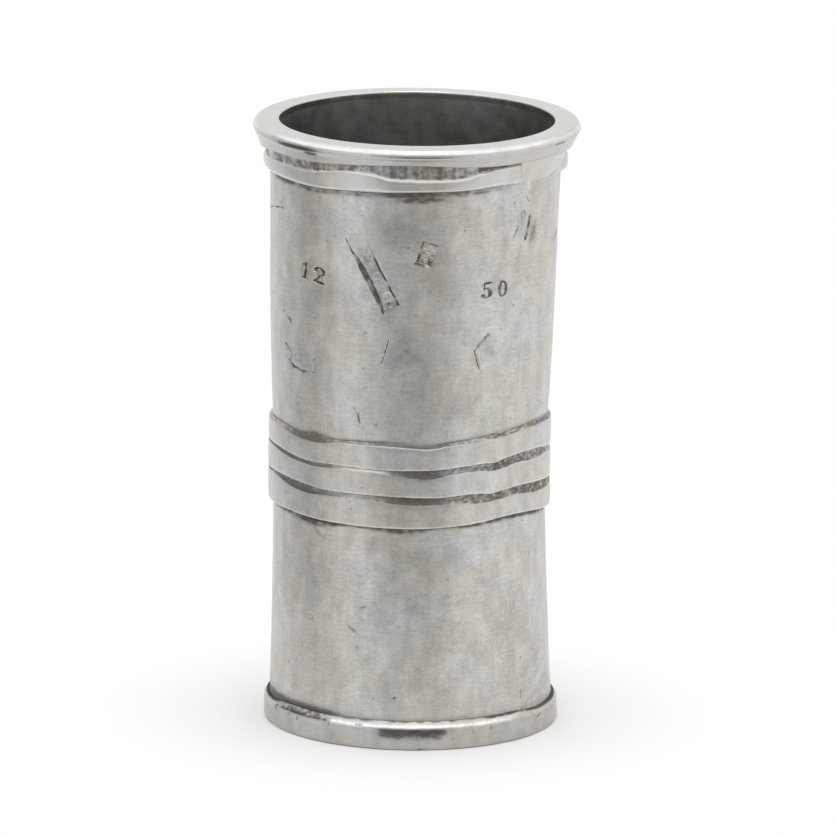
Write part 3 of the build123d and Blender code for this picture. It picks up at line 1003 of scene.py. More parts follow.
# Where the groove along the top of each strap starts, and how strongly it is stained there.
TOP_STEP = smooth_through(
    ((-80, 76.7), (-66, 76.9), (-52, 75.7), (-42, 75.5), (-34, 76.0), (-30, 76.6), (-20, 76.5),
     (-10, 76.5), (0, 76.2), (9, 75.9), (16, 76.6), (28, 76.9), (36, 77.4), (41, 77.5), (50, 78.0),
     (68, 78.0), (82, 77.6), (110, 77.0), (150, 76.2), (200, 76.1), (240, 76.3)), 360)
HIGH_STEP = smooth_through(
    ((-89, 70.6), (-73, 70.8), (-55, 69.8), (-42, 69.4), (-28, 69.9), (-12, 69.8), (-4, 69.0),
     (3, 68.4), (10, 68.3), (17, 69.3), (30, 69.5), (37, 69.2), (50, 70.1), (60, 69.7), (72, 69.8),
     (84, 69.2), (120, 69.2), (170, 69.6), (230, 69.5)), 360)
MIDDLE_STEP = smooth_through(
    ((-84, 63.7), (-70, 64.1), (-57, 62.8), (-44, 62.3), (-33, 62.7), (-13, 62.4), (-4, 61.9),
     (8, 61.7), (18, 61.9), (31, 61.5), (38, 61.7), (47, 62.2), (60, 61.3), (80, 60.7), (120, 62.0),
     (180, 62.5), (230, 62.8)), 360)
TOP_STAIN = smooth_through(
    ((-85, 0.6), (-66, 0.7), (-55, 0.95), (-42, 1.0), (-34, 0.95), (-30, 0.6), (-20, 0.8), (-10, 0.9),
     (4, 1.0), (12, 0.9), (20, 0.8), (30, 0.75), (36, 0.9), (39, 1.2), (43, 1.0), (50, 0.9), (60, 0.8),
     (70, 1.0), (85, 0.8), (130, 0.5), (200, 0.7), (240, 0.5)), 360)
HIGH_STAIN = smooth_through(
    ((-85, 0.9), (-55, 1.0), (-40, 0.95), (-32, 0.8), (-26, 0.4), (-18, 0.2), (-11, 0.6), (-4, 0.9),
     (9, 1.0), (16, 0.9), (26, 0.85), (34, 0.9), (38, 1.1), (46, 1.0), (56, 0.9), (72, 0.95), (90, 0.6),
     (140, 0.7), (190, 0.5), (230, 0.75)), 360)
MIDDLE_STAIN = smooth_through(
    ((-85, 0.85), (-55, 1.0), (-42, 1.0), (-32, 0.8), (-15, 0.75), (-6, 0.95), (6, 1.05),
     (16, 0.9), (30, 0.85), (36, 1.0), (39, 1.2), (42, 0.9), (48, 1.0), (66, 1.05), (80, 0.95),
     (120, 0.6), (170, 0.75), (220, 0.6)), 360)
LOW_STAIN_AND_SHADE = smooth_through(
    ((-80, 0.7), (-55, 0.8), (-45, 0.9), (-34, 0.8), (-22, 0.6), (-12, 0.7), (0, 0.75), (8, 0.65),
     (15, 0.55), (24, 0.7), (38, 0.8), (48, 1.0), (58, 0.95), (80, 0.7), (120, 0.5), (180, 0.55),
     (240, 0.5)), 360)
LOW_SHADE = smooth_through(
    ((-80, 1.4), (-55, 2.0), (-45, 2.6), (-36, 2.2), (-27, 1.1), (-17, 1.2), (-7, 2.0), (3, 1.9),
     (9, 1.1), (22, 1.3), (44, 1.7), (60, 1.5), (80, 1.6), (130, 1.2), (200, 1.5)), 360)
print("strap top line from", round(float(TOP_LINE(-50.0)), 1), "to", round(float(TOP_LINE(73.0)), 1))

# %% [markdown]
# ## Barrels
# Each barrel was a sheet rolled into a tube and soldered along its seam. The tube is spun from its
# section with short edges on the outside, refined in steps round the punch marks, and then pressed:
# the points move in by the depth of the marks and of the slow dents of use. The strip of solder in
# the seam is made by the same function, so it follows every dent of the wall.

# %% Shape of the upper wall
UPPER_R = smooth_through(
    ((60, 33.9), (74, 33.95), (78, 34.25), (84, 34.55), (91, 34.8), (103, 35.3), (118, 35.6),
     (130, 35.8), (139, 36.0), (152, 36.0)))
upper = cad["upper_barrel"]
lower = cad["lower_barrel"]
lip = cad["lip_ring"]
UPPER_INNER_R = smooth_through(
    ((60, lower.inner), (77.5, lower.inner), (84, 32.1), (90, 32.5), (103, 33.35), (120, 33.95),
     (137, lip.inner), (152, lip.inner)))
SEAM_AZIMUTH = azimuth_of("upper_seam_solder")
THICKNESS = 2.0                      # of the wall
WAIST_R = lower.inner + THICKNESS
LAP = (upper.low, lower.high)        # here the two barrels share the wall's thickness


class Wall:
    """A straight conical wall with a half lap at one end, before it is pressed into shape."""

    def __init__(self, low, high, inner, outer):
        self.low, self.high, self.inner, self.outer = low, high, inner, outer

    def faces(self, height):
        """The radius of the inner and the outer face at a height."""
        return [np.interp(height, (self.low, self.high), face) for face in (self.inner, self.outer)]

    def share(self, radius, height):
        """Where a point lies in the wall's thickness: 0 on the inner face, 1 on the outer."""
        inner, outer = self.faces(height)
        return (radius - inner) / (outer - inner)

    def at(self, share, height):
        """The radius at a share of the wall's thickness."""
        inner, outer = self.faces(height)
        return inner + share * (outer - inner)


def upper_outline(wall):
    """The upper barrel's section: its lap is the outer half of the wall."""
    low, high, lap = wall.low, wall.high, LAP[1]
    return [
        (wall.at(0.5, low), low, 0), (wall.at(1, low), low, 0), (wall.at(1, high), high, 0),
        (wall.at(0, high), high, 0), (wall.at(0, lap), lap, 0), (wall.at(0.5, lap), lap, 0),
    ]


def lower_outline(wall):
    """The lower barrel's section: its lap is the inner half."""
    low, high, lap = wall.low, wall.high, LAP[0]
    return [
        (wall.at(0, low), low, 0), (wall.at(1, low), low, 0), (wall.at(1, lap), lap, 0),
        (wall.at(0.5, lap), lap, 0), (wall.at(0.5, high), high, 0), (wall.at(0, high), high, 0),
    ]


UPPER_WALL = Wall(upper.low, upper.high, (lower.inner, lip.inner), (WAIST_R, upper.outer))
LOWER_WALL = Wall(
    lower.low, lower.high, (lower.outer - THICKNESS, lower.inner), (lower.outer, WAIST_R))
print("seam at", round(float(SEAM_AZIMUTH), 1), "degrees, lap", [round(z, 1) for z in LAP])

# %% [markdown]
# The upper half swells towards the mouth, and it has nearly all the punch marks. One function takes
# a plain wall and lays the swell, the marks, the dents, the stains and the painted shade over it, so
# the barrel and the solder in its seam get exactly the same shape where they meet.

# %% Press the upper barrel
def shape_upper(bm, marks):
    """Swells the wall, presses the marks and dents, and returns the grime and the painted shade."""
    azimuth, radius, height = read_points(bm)
    share = UPPER_WALL.share(radius, height)
    inner_wall = UPPER_INNER_R(height)
    depth, grime = strike(marks, azimuth, height)
    dents = 0.16 * ripple(azimuth, height, 16, 18, 1) + 0.05 * ripple(azimuth, height, 6, 5, 2)
    free = between(height, 79, 6, 139, 4)
    outer_wall = UPPER_R(height) + dents * free - depth
    inner_wall = inner_wall + 0.4 * dents * free - 0.15 * depth
    radius = inner_wall + share * (outer_wall - inner_wall)
    skin = ease((share - 0.8) / 0.2)
    under_neck = NECK_LINE(azimuth) - height
    above_strap = height - TOP_LINE(azimuth)
    mottle = 1 + 0.45 * ripple(azimuth, height, 1.8, 1.0, 3)
    # Under the moulding the wall gets a dark band, partly stain and partly painted shade, and in front a
    # painted dark reflection.
    band = ease(1.35 - np.abs(under_neck - 0.3) / 1.4)
    painted_dark_patch = 0.75 * bell((azimuth - 2) / 14) * bell((under_neck - 1.8) / 1.2)
    grime = np.maximum(grime, NECK_STAIN_AND_SHADE(azimuth) * mottle * np.maximum(0.7 * band, painted_dark_patch))
    grime = np.maximum(grime, 0.5 * bell((above_strap - 0.1) / 0.5))
    grime = np.maximum(grime, (height > 79) * tarnished(UPPER_CLOUDS, azimuth, height))
    place_points(bm, azimuth, radius, height)
    return skin * grime


print("upper wall radius 100 mm up:", round(float(UPPER_R(100.0)), 2), "mm")

# %% [markdown]
# A piece of this measure that was bent round it is open at a seam, and a thin strip of solder fills
# the gap. They could be one full ring with two materials, but they are two pieces on the real
# object. Both are spun from one section, so one helper makes the pair.

# %% The upper barrel and its seam
SEAM_STEPS = 3


def with_seam(corners, step, steps, azimuth, half_width, inner_step, fine=()):
    """A ring that is open at an azimuth, and the strip, half_width mm each way, that fills it."""
    half = np.degrees(half_width / WALL_R)
    ring = turned(corners, step, steps, azimuth + half, 360 - 2 * half, inner_step, fine)
    strip = turned(corners, step, SEAM_STEPS, azimuth - half, 2 * half, inner_step, fine)
    return ring, strip


BARREL = dict(step=1.3, steps=320, azimuth=SEAM_AZIMUTH, half_width=0.5, inner_step=3.0)
UPPER_ROWS = ((75.0, 80.0, 0.4), (136.5, 142.0, 0.3))
LARGE_MARKS = UPPER_MARKS[:4]        # they have small relief, so their patch is the finest
barrel, strip = with_seam(upper_outline(UPPER_WALL), fine=UPPER_ROWS, **BARREL)
for bm in (barrel, strip):
    for marks, margin in ((UPPER_MARKS, 2.0), (UPPER_MARKS, 0.4), (LARGE_MARKS, 0.2)):
        refine(bm, near_marks(marks, margin, UPPER_WALL))
grime = shape_upper(barrel, UPPER_MARKS)
upper_barrel = finish_piece(
    "barrel_upper", barrel, "upper_barrel", barrel_finish, grime)
grime = shape_upper(strip, UPPER_MARKS)
upper_seam = finish_piece("seam_upper", strip, "upper_seam_solder", solder_finish, grime)

# %% [markdown]
# The lower barrel tapers from the foot to the waist. Its seam was dressed with a file, which left
# slanting marks right of it, and years of use added pits and a long scratch.

# %% The lower barrel
LOWER_R = smooth_through(
    ((0, 35.3), (8.4, 35.2), (15, 34.9), (26, 34.6), (38, 34.25), (49, 33.95), (56, 33.9), (70, 33.9)))
FILE_STROKES = tuple((-7.5 + 2.1 * (k % 5), -7.5 + 0.85 * k) for k in range(15))


def file_marks(u, v):
    """A patch of slanting file strokes."""
    strokes = sum(
        stroke(u, v, [(shift, low, 0.14), (shift + 4.2, low + 3.4, 0.14)], 0.09, 0.4)
        for shift, low in FILE_STROKES
    )
    return strokes, 5.5 * strokes


def seam_streak(u, v):
    """A low ridge of solder that runs up from the foot."""
    return -stroke(u, v, [(0.2, -7.5, 0.3), (-0.3, 0.0, 0.4), (0.1, 7.0, 0.15)], 0.22, 0.5), 0 * u


LOWER_MARKS = (
    Mark(64.0, 14.0, 0.0, 9.0, 8.5, file_marks),
    Mark(50.5, 14.0, 0.0, 1.0, 8.0, seam_streak),
) + scratches(
    (52.0, 10.9, 85, 1.4, 0.6, [(-1.0, 0, 0.12), (1.0, 0, 0.2)], 0.15),
    (50.0, 34.5, 58, 16.0, 1.0, [(-15, -0.9, 0.0), (0, 0.5, 0.06), (14.5, -0.2, 0.04)], 0.06),
    (-6.3, 12.9, 20, 0.6, 0.6, [(-0.2, 0, 0.3), (0.2, 0, 0.3)], 0.25),
) + smudges(
    (-24.0, 29.5, -32, 2.6, 0.8, 2.3, 0.45, 0.75), (-21.8, 24.9, -30, 0.9, 0.5, 0.8, 0.4, 0.6),
    (-19.1, 35.4, 12, 1.6, 0.5, 1.4, 0.3, 0.5), (-19.5, 32.1, 0, 0.6, 0.5, 0.6, 0.4, 0.55),
    (13.0, 14.3, 8, 2.4, 1.2, 2.2, 0.9, 0.45), (-41.7, 53.0, -35, 2.6, 1.4, 2.3, 0.8, 0.45),
    (-38.0, 51.8, 60, 1.4, 0.8, 1.2, 0.5, 0.4), (14.3, 50.3, 0, 0.5, 0.5, 0.5, 0.5, 0.5),
)
FOOT_TOP = cad["foot_ring"].high


def shape_lower(bm, marks):
    """Presses the lower wall's marks and dents, and returns the grime and the painted shade."""
    azimuth, radius, height = read_points(bm)
    share = LOWER_WALL.share(radius, height)
    inner_wall = np.interp(height, (3.6, 7.2, 54.8, 70), (33.3, 33.3, 31.9, 31.9))
    depth, grime = strike(marks, azimuth, height)
    dents = 0.14 * ripple(azimuth, height, 15, 20, 5) + 0.05 * ripple(azimuth, height, 6, 5, 6)
    free = between(height, 8, 5, 54, 5)
    outer_wall = LOWER_R(height) + dents * free - depth
    radius = inner_wall + 0.4 * dents * free * (1 - share) + share * (outer_wall - inner_wall)
    skin = ease((share - 0.8) / 0.2)
    under_strap = LOW_LINE(azimuth) - height
    over_foot = height - FOOT_TOP
    shadow_side = between(azimuth, -150, 50, -18, 25)
    # Under the lowest strap the wall gets a dark band, partly stain and partly painted shade, and just
    # above the foot a band of painted shade, darker on the left side.
    shade = ease(1.3 - np.clip(under_strap, 0, 9) / LOW_SHADE(azimuth)) * (under_strap > -1.5)
    mottle = 1 + 0.5 * ripple(azimuth, height, 1.8, 1.0, 8)
    grime = np.maximum(grime, LOW_STAIN_AND_SHADE(azimuth) * mottle * shade)
    gap = bell((over_foot - 0.2) / (0.7 + shadow_side))
    grime = np.maximum(grime, (0.35 + 0.4 * shadow_side) * gap)
    grime = np.maximum(grime, tarnished(LOWER_CLOUDS, azimuth, height))
    place_points(bm, azimuth, radius, height)
    return skin * grime


LOWER_ROWS = ((6.6, 10.0, 0.35), (50.0, 57.5, 0.45))
barrel, strip = with_seam(lower_outline(LOWER_WALL), fine=LOWER_ROWS, **BARREL)
for margin in (2.0, 0.4):
    refine(barrel, near_marks(LOWER_MARKS, margin, LOWER_WALL))
grime = shape_lower(barrel, LOWER_MARKS)
lower_barrel = finish_piece(
    "barrel_lower", barrel, "lower_barrel", barrel_finish, grime)
grime = shape_lower(strip, LOWER_MARKS)
lower_seam = finish_piece("seam_lower", strip, "lower_seam_solder", solder_finish, grime)

# %% [markdown]
# The inside of the cup is dark with age. It is the same sheet, so it stays one piece with the
# outside: its faces just take a second material.

# %% Darken the inside
def darken_inside(piece):
    """Gives the faces that look at the axis the dark finish of the inside."""
    mesh = piece.data
    mesh.materials.append(inside_finish)
    count = len(mesh.polygons)
    centers, normals = np.empty(3 * count), np.empty(3 * count)
    mesh.polygons.foreach_get("center", centers)
    mesh.polygons.foreach_get("normal", normals)
    centers, normals = centers.reshape(-1, 3), normals.reshape(-1, 3)
    outwards = (centers[:, :2] * normals[:, :2]).sum(axis=1) / np.hypot(*centers[:, :2].T)
    inside = outwards < -0.5
    mesh.polygons.foreach_set("material_index", inside.astype(np.int32))
    return int(inside.sum())


for piece in (upper_barrel, upper_seam, lower_barrel, lower_seam):
    print(piece.name, "inside faces:", darken_inside(piece))

# %% [markdown]
# ## Mouth ring
# The heavy ring has a flat top that falls a little outwards, a full round edge and a side that
# tapers in. It was cast and turned, so one section spun all the way round makes it. Its lower edge
# follows the wavering line of the moulding under it.

# %% The mouth ring
RING_STEPS = 480
LIP_CORNERS = [
    (lip.inner, lip.high, 0.4), (39.75, lip.high - 0.15, 0.6), (lip.outer, lip.high - 1.5, 0.7),
    (39.9, lip.high - 3.2, 0.4), (38.75, lip.low, 0.2), (37.0, lip.low, 0.0),
    (upper.outer, lip.low, 0.0), (upper.outer, upper.high, 0.0), (lip.inner, upper.high, 0.0),
]


def build_mouth_ring():
    """Spins the ring, makes it a little uneven, stains its side, and paints dark reflections and a
    highlight along its edge.
    """
    bm = turned(LIP_CORNERS, 0.35, RING_STEPS)
    azimuth, radius, height = read_points(bm)
    outer = ease((radius - 38) / 1.5)
    flat = 0.10 * ripple(azimuth, height, 9, 9, 11) + 0.04 * ripple(azimuth, height, 3, 3, 12)
    radius = radius + outer * flat
    height = height + 0.06 * ripple(azimuth, radius, 12, 12, 13) * ease((height - 149) / 2)
    side = ease((150.6 - height) / 0.6) * ease((radius - 38.0) / 0.5)
    under = bell((height - lip.low) / 0.35) * ease((radius - 37.5) / 1.0)
    # Painted dark reflections under the edge: a wide one at the left with a spot beside it, a thin one
    # in front, a small one at the right.
    below = lip.high - 1.9 - height
    lens = ease(1.25 - np.abs(azimuth + 47) / 14) * ease(1.2 - np.abs(below - 0.1) / 0.9)
    front = ease(1.2 - np.abs(azimuth - 2) / 17) * ease(1.1 - np.abs(below + 0.15) / 0.4)
    right = ease(1.2 - np.abs(azimuth - 61) / 7) * ease(1.1 - np.abs(below) / 0.7)
    spot = ease(1.5 - np.hypot((azimuth + 40.3) * 0.7 / 2.2, (height - 148.7) / 0.6))
    stain = side * np.maximum.reduce((1.0 * lens, 0.8 * front, 0.6 * right, 0.8 * spot))
    stain = np.maximum(stain, 0.8 * (lens + 0.6 * front) * (below > -0.5) * (height > 148))
    tarnish = side * (0.16 + 0.12 * ripple(azimuth, height, 6, 3, 14))
    grime = np.maximum.reduce((stain, 0.5 * under, tarnish))
    # The edge is worn bright, which also paints a highlight along it, except where the dark reflection
    # lies.
    wear = bell((height - lip.high + 0.8) / 0.45) * ease((radius - 39.6) / 0.5)
    wear = wear * (1 - np.clip(lens, 0, 1))
    # The points near the joint with the moulding move onto its wavering line.
    reach = np.interp(height, (142.0, lip.low, 149.5), (0, 1, 0))
    place_points(bm, azimuth, radius, height + reach * (LIP_LINE(azimuth) - lip.low))
    finish_piece("mouth_ring", bm, "lip_ring", ring_finish, grime, 0.5 * wear)


build_mouth_ring()

# %% [markdown]
# ## Neck moulding
# A strip with a hollow and a round was bent round the neck and soldered at its ends. Right of the
# joint the round was filed almost away. The hollow is full of grime and has the marks of the scraper
# across it.

# %% The neck moulding
moulding = cad["neck_moulding"]
BUTT_AZIMUTH = azimuth_of("neck_butt_solder")
BUTT_HALF = 0.4        # millimetres each way
MOULDING_OUT = 37.8
MOULDING_CORNERS = [
    (upper.outer, moulding.high, 0), (MOULDING_OUT, moulding.high, 0), (MOULDING_OUT, moulding.low, 0),
    (upper.outer, moulding.low, 0),
]
# Radius against the place in the section: 0 is the lower edge, 1 where the round meets the hollow,
# and 2 the upper edge under the mouth ring.
MOULDING_R = smooth_through(
    ((0, 36.55), (0.05, 36.95), (0.14, 37.35), (0.3, 37.62), (0.55, 37.74), (0.8, 37.72), (0.95, 37.6),
     (1.08, 37.3), (1.3, 37.12), (1.6, 37.15), (1.85, 37.35), (2, 37.5)))
NECK_GOUGES = scratches(
    (59.5, 139.3, 4, 5.0, 0.5, [(-4.2, -0.1, 0.1), (0, 0.1, 0.22), (4.2, 0, 0.1)], 0.2),
    (71.0, 141.0, 2, 3.6, 0.5, [(-3.0, 0, 0.1), (0, 0.1, 0.2), (3.0, 0, 0.12)], 0.2),
    (62.5, 140.4, 3, 4.0, 0.5, [(-3.0, 0, 0.08), (3.2, 0.1, 0.14)], 0.12),
    (57.0, 138.4, 8, 3.0, 0.4, [(-2.4, 0, 0.08), (2.4, 0, 0.1)], 0.1),
)


def shape_moulding(bm):
    """Gives the plain strip its section between the wavering lines; returns grime and wear."""
    azimuth, radius, height = read_points(bm)
    share = (height - moulding.low) / (moulding.high - moulding.low)
    skin = (radius - upper.outer) / (MOULDING_OUT - upper.outer)
    low_line, high_line, joint = NECK_LINE(azimuth), LIP_LINE(azimuth), HOLLOW_LINE(azimuth)
    joint = joint + 0.03 * ripple(azimuth, 0 * height, 2.5, 1, 20)
    place = np.where(share < joint, share / joint, 1 + (share - joint) / (1 - joint))
    filed = between(azimuth, BUTT_AZIMUTH, 2.5, 86, 10)
    height = low_line + share * (high_line - low_line)
    hollow = ease((place - 0.98) / 0.16)
    chatter = 0.05 * hollow * ripple(azimuth, height / 6, 0.9, 1, 21)
    gouged, gouge_grime = strike(NECK_GOUGES, azimuth, height)
    shaped = MOULDING_R(place) + 0.05 * ripple(azimuth, height, 5, 3, 22) + chatter
    waves = 0.06 * ripple(azimuth, height, 6, 4, 24)
    plain = UPPER_R(height) + 0.05 + 1.9 * share**1.3 + waves - gouged
    outer = (1 - filed) * shaped + filed * plain
    mottle = 0.25 * ripple(azimuth, height, 1.6, 0.9, 23)
    mottle = mottle + 0.2 * ripple(azimuth, height / 5, 0.8, 1, 25)
    grime = (1 - filed) * hollow * (0.5 + mottle)
    wedge = between(azimuth, 22, 3, 46, 4) * ease((place - 1.1) / 0.3)
    grime = np.maximum.reduce((grime, 0.85 * wedge, filed * gouge_grime))
    grime = np.maximum(grime, 0.4 * filed * bell((share - 1.0) / 0.06))
    # The lower edge of the round is worn bright, which also paints a highlight along it.
    wear = 0.5 * (1 - filed) * bell((place - 0.12) / 0.1)
    place_points(bm, azimuth, upper.outer + skin * (outer - upper.outer), height)
    return skin * grime, skin * wear


bead, butt = with_seam(MOULDING_CORNERS, 0.27, RING_STEPS, BUTT_AZIMUTH, BUTT_HALF, 1.0)
grime, wear = shape_moulding(bead)
finish_piece("neck_bead", bead, "neck_moulding", ring_finish, grime, wear)
grime, wear = shape_moulding(butt)
finish_piece("neck_bead_butt", butt, "neck_butt_solder", solder_finish, grime)

# %% [markdown]
# ## Straps
# Three straps cover the joint of the two barrels. Each one has a proud lower edge, and a groove was
# filed by eye along its top, which shows as a dark line under the strap above. The groove is a hair
# wide in some places and two millimetres in others. A dark line could be painted, but the groove
# also catches light, so one function shapes it, from a plain band whose top rows sink in.

# %% The straps
Strap = namedtuple("Strap", "name node low_line high_line step_line stain gap depth seed")
STRAP_BUTT = azimuth_of("strap_butt_solder")
STRAP_OUT = 35.1
STRAP_STEPS = 560
STEP_SHARE = 0.76     # the groove takes the rows above this share of a strap's height
STRAPS = (
    Strap("strap_top", "upper_strap", HIGH_LINE, TOP_LINE, TOP_STEP, TOP_STAIN, 0.0, 0.8, 70),
    Strap("strap_middle", "middle_strap", MIDDLE_LINE, HIGH_LINE, HIGH_STEP, HIGH_STAIN, 0.12, 0.45, 80),
    Strap("strap_low", "lower_strap", LOW_LINE, MIDDLE_LINE, MIDDLE_STEP, MIDDLE_STAIN, 0.12, 0.45, 90),
)
# How far in the groove's floor lies, as a share of its depth, from its lower to its upper edge.
GROOVE = smooth_through(((0, 0.0), (0.12, 0.2), (0.3, 0.46), (0.55, 0.74), (0.8, 0.93), (1, 1)))
# In front, the face of the straps leans in over two millimetres below the groove.
LEAN = smooth_through(
    ((-80, 0.15), (-30, 0.1), (-15, 0.15), (-7, 0.9), (2, 1.0), (10, 0.9), (16, 0.3), (30, 0.15),
     (100, 0.3), (180, 0.6), (230, 0.2)), 360)
STRAP_MARKS = smudges(
    (-28.8, 73.7, 40, 1.0, 0.6, 0.7, 0.35, 0.4), (-45.5, 57.5, -20, 1.8, 0.9, 1.4, 0.5, 0.5),
    (-37.0, 57.9, 70, 1.6, 0.6, 1.3, 0.3, 0.3), (1.5, 58.0, 6, 2.4, 0.8, 2.4, 0.35, 0.4),
    (-24.5, 57.5, 0, 0.8, 0.6, 0.6, 0.4, 0.35), (14.0, 60.0, 30, 1.0, 0.6, 0.8, 0.3, 0.3),
)


def strap_outline(size):
    """A plain band, with a point where the groove starts."""
    step = size.low + STEP_SHARE * (size.high - size.low)
    return [
        (size.inner, size.low, 0), (STRAP_OUT, size.low, 0.16), (STRAP_OUT, step, 0),
        (STRAP_OUT, size.high, 0), (size.inner, size.high, 0),
    ]


def shape_strap(bm, strap):
    """Draws the strap between its lines, with the groove along its top, and roughens it."""
    size = cad[strap.node]
    azimuth, radius, height = read_points(bm)
    share = (height - size.low) / (size.high - size.low)
    skin = (radius - size.inner) / (STRAP_OUT - size.inner)
    level = 0 * height
    low = strap.low_line(azimuth) + 0.06 * ripple(azimuth, level, 2.2, 1, strap.seed)
    high = strap.high_line(azimuth) - strap.gap
    right = between(azimuth, 14, 4, 110, 20)
    shake = (0.04 + 0.08 * right) * ripple(azimuth, level, 1.3, 1, strap.seed + 1)
    step = np.minimum(strap.step_line(azimuth) + shake, high - 0.2)
    below = share / STEP_SHARE
    above = (share - STEP_SHARE) / (1 - STEP_SHARE)
    height = np.where(above < 0, low + below * (step - low), step + above * (high - step))
    groove = np.clip(above, 0, 1)
    stain = strap.stain(azimuth)
    depth = strap.depth * (0.35 + 0.65 * stain) * GROOVE(groove) * (groove > 0)
    marks, pits = strike(STRAP_MARKS, azimuth, height)
    waves = 0.05 * ripple(azimuth, height, 7, 5, strap.seed + 2)
    rough = (0.02 + 0.10 * right) * (groove > 0) * ripple(azimuth, height, 0.9, 0.6, strap.seed + 3)
    leaning, face = LEAN(azimuth), groove == 0
    lean = 0.20 * leaning * np.clip(1 - (step - height) / 2.2, 0, 1) ** 2
    crown = 0.10 * (1 - (2 * below - 1) ** 2) * face
    outer = STRAP_OUT + crown + waves + rough - depth - lean - marks
    outer = np.maximum(outer, size.inner + 0.15)
    radius = size.inner + skin * (outer - size.inner)
    left = ease((-22 - azimuth) / 12)
    # In front, where the face leans in, the groove and the face under it are made darker as painted
    # shade.
    tone = 0.62 + 0.22 * left * (0.7 - groove) + 0.10 * leaning
    tone = tone + (0.10 + 0.22 * right) * ripple(azimuth, height, 1.1, 0.6, strap.seed + 4)
    grime = stain * tone * ease((above + 0.06) / 0.12)
    grime = np.maximum(grime, 0.5 * leaning * np.clip(1 - (step - height) / 1.8, 0, 1) * face)
    # The lower edge and the edge under the groove are worn bright, which also paints highlights along
    # them.
    low_edge = bell((height - low - 0.1) / 0.22)
    step_edge = bell((step - height) / 0.16) * face * np.clip(0.8 - 1.5 * leaning, 0, 1)
    place_points(bm, azimuth, radius, height)
    return skin * np.maximum(grime, pits), skin * np.maximum(0.55 * low_edge, 0.5 * step_edge)


print([strap.name for strap in STRAPS], "butts at", round(float(STRAP_BUTT), 1), "degrees")

# %% [markdown]
# The ends of each strap meet in a butt that is filled with a line of solder. The three lines share a
# CAD node, so they are joined into one piece.

# %% Build the straps and their butts
butts = bmesh.new()
butt_grime = []
for strap in STRAPS:
    size = cad[strap.node]
    rows = ((size.high - (1 - STEP_SHARE) * (size.high - size.low), size.high, 0.17),)
    band, fill = with_seam(strap_outline(size), 0.4, STRAP_STEPS, STRAP_BUTT, BUTT_HALF, 1.2, rows)
    grime, wear = shape_strap(band, strap)
    finish_piece(strap.name, band, strap.node, strap_finish, grime, wear)
    grime, wear = shape_strap(fill, strap)
    butt_grime.append(grime)
    part = bpy.data.meshes.new(strap.name + "_butt")
    fill.to_mesh(part)
    butts.from_mesh(part)
grime = np.concatenate(butt_grime)
finish_piece("strap_butts", butts, "strap_butt_solder", solder_finish, grime)

# %% [markdown]
# ## Foot
# The foot ring is a casting that the barrel stands in. Its side ends in a narrow slanting edge, which
# handling has worn bright in front, partly as a painted highlight, and which is darkened at the left
# by a painted dark reflection, and a low shoulder rises from there to the barrel. At both sides the
# barrel and the ring have come a little apart, which leaves a dark gap.

# %% The foot ring
foot = cad["foot_ring"]
FOOT_SEAT = 35.3
FLANGE_TOP = lower.low
FOOT_EDGE = (foot.high - 1.7, foot.high - 0.9)       # the bright edge between side and shoulder
FOOT_CORNERS = [
    (foot.inner, 0, 0.2), (foot.outer, 0, 0.5), (foot.outer, FOOT_EDGE[0], 0.3),
    (36.25, FOOT_EDGE[1], 0.3), (FOOT_SEAT + 0.2, foot.high, 0.15), (FOOT_SEAT, foot.high - 0.5, 0),
    (FOOT_SEAT, FLANGE_TOP, 0), (foot.inner, FLANGE_TOP, 0.2),
]
FOOT_MARKS = scratches(
    (-65.6, 5.2, 80, 1.3, 0.6, [(-0.9, 0, 0.16), (0.9, 0, 0.2)], 0.3),
    (-55.4, 5.0, 75, 1.0, 0.9, [(-0.7, 0.3, 0.2), (0.7, -0.3, 0.2)], 0.3),
    (-49.9, 4.4, 80, 1.0, 0.6, [(-0.6, 0, 0.16), (0.7, 0, 0.2)], 0.2),
    (-33.4, 5.5, 85, 0.9, 0.8, [(-0.5, 0, 0.3), (0.5, 0, 0.3)], 0.3),
    (-20.1, 5.7, 0, 0.8, 0.8, [(-0.3, 0, 0.3), (0.3, 0, 0.3)], 0.3),
    (16.7, 2.5, 0, 0.6, 0.6, [(-0.1, 0, 0.24), (0.1, 0, 0.24)], 0.25),
    (25.0, 3.6, 80, 1.4, 0.6, [(-1.0, 0.1, 0.1), (1.0, -0.1, 0.1)], 0.1),
    (33.6, 4.4, 85, 0.9, 0.5, [(-0.4, 0, 0.2), (0.4, 0, 0.2)], 0.25),
) + smudges((61.0, 4.6, 20, 1.6, 0.6, 1.6, 0.35, 0.7), (4.0, 0.3, 0, 0.8, 0.5, 0.9, 0.4, 0.6))
FOOT_STEPS = 540


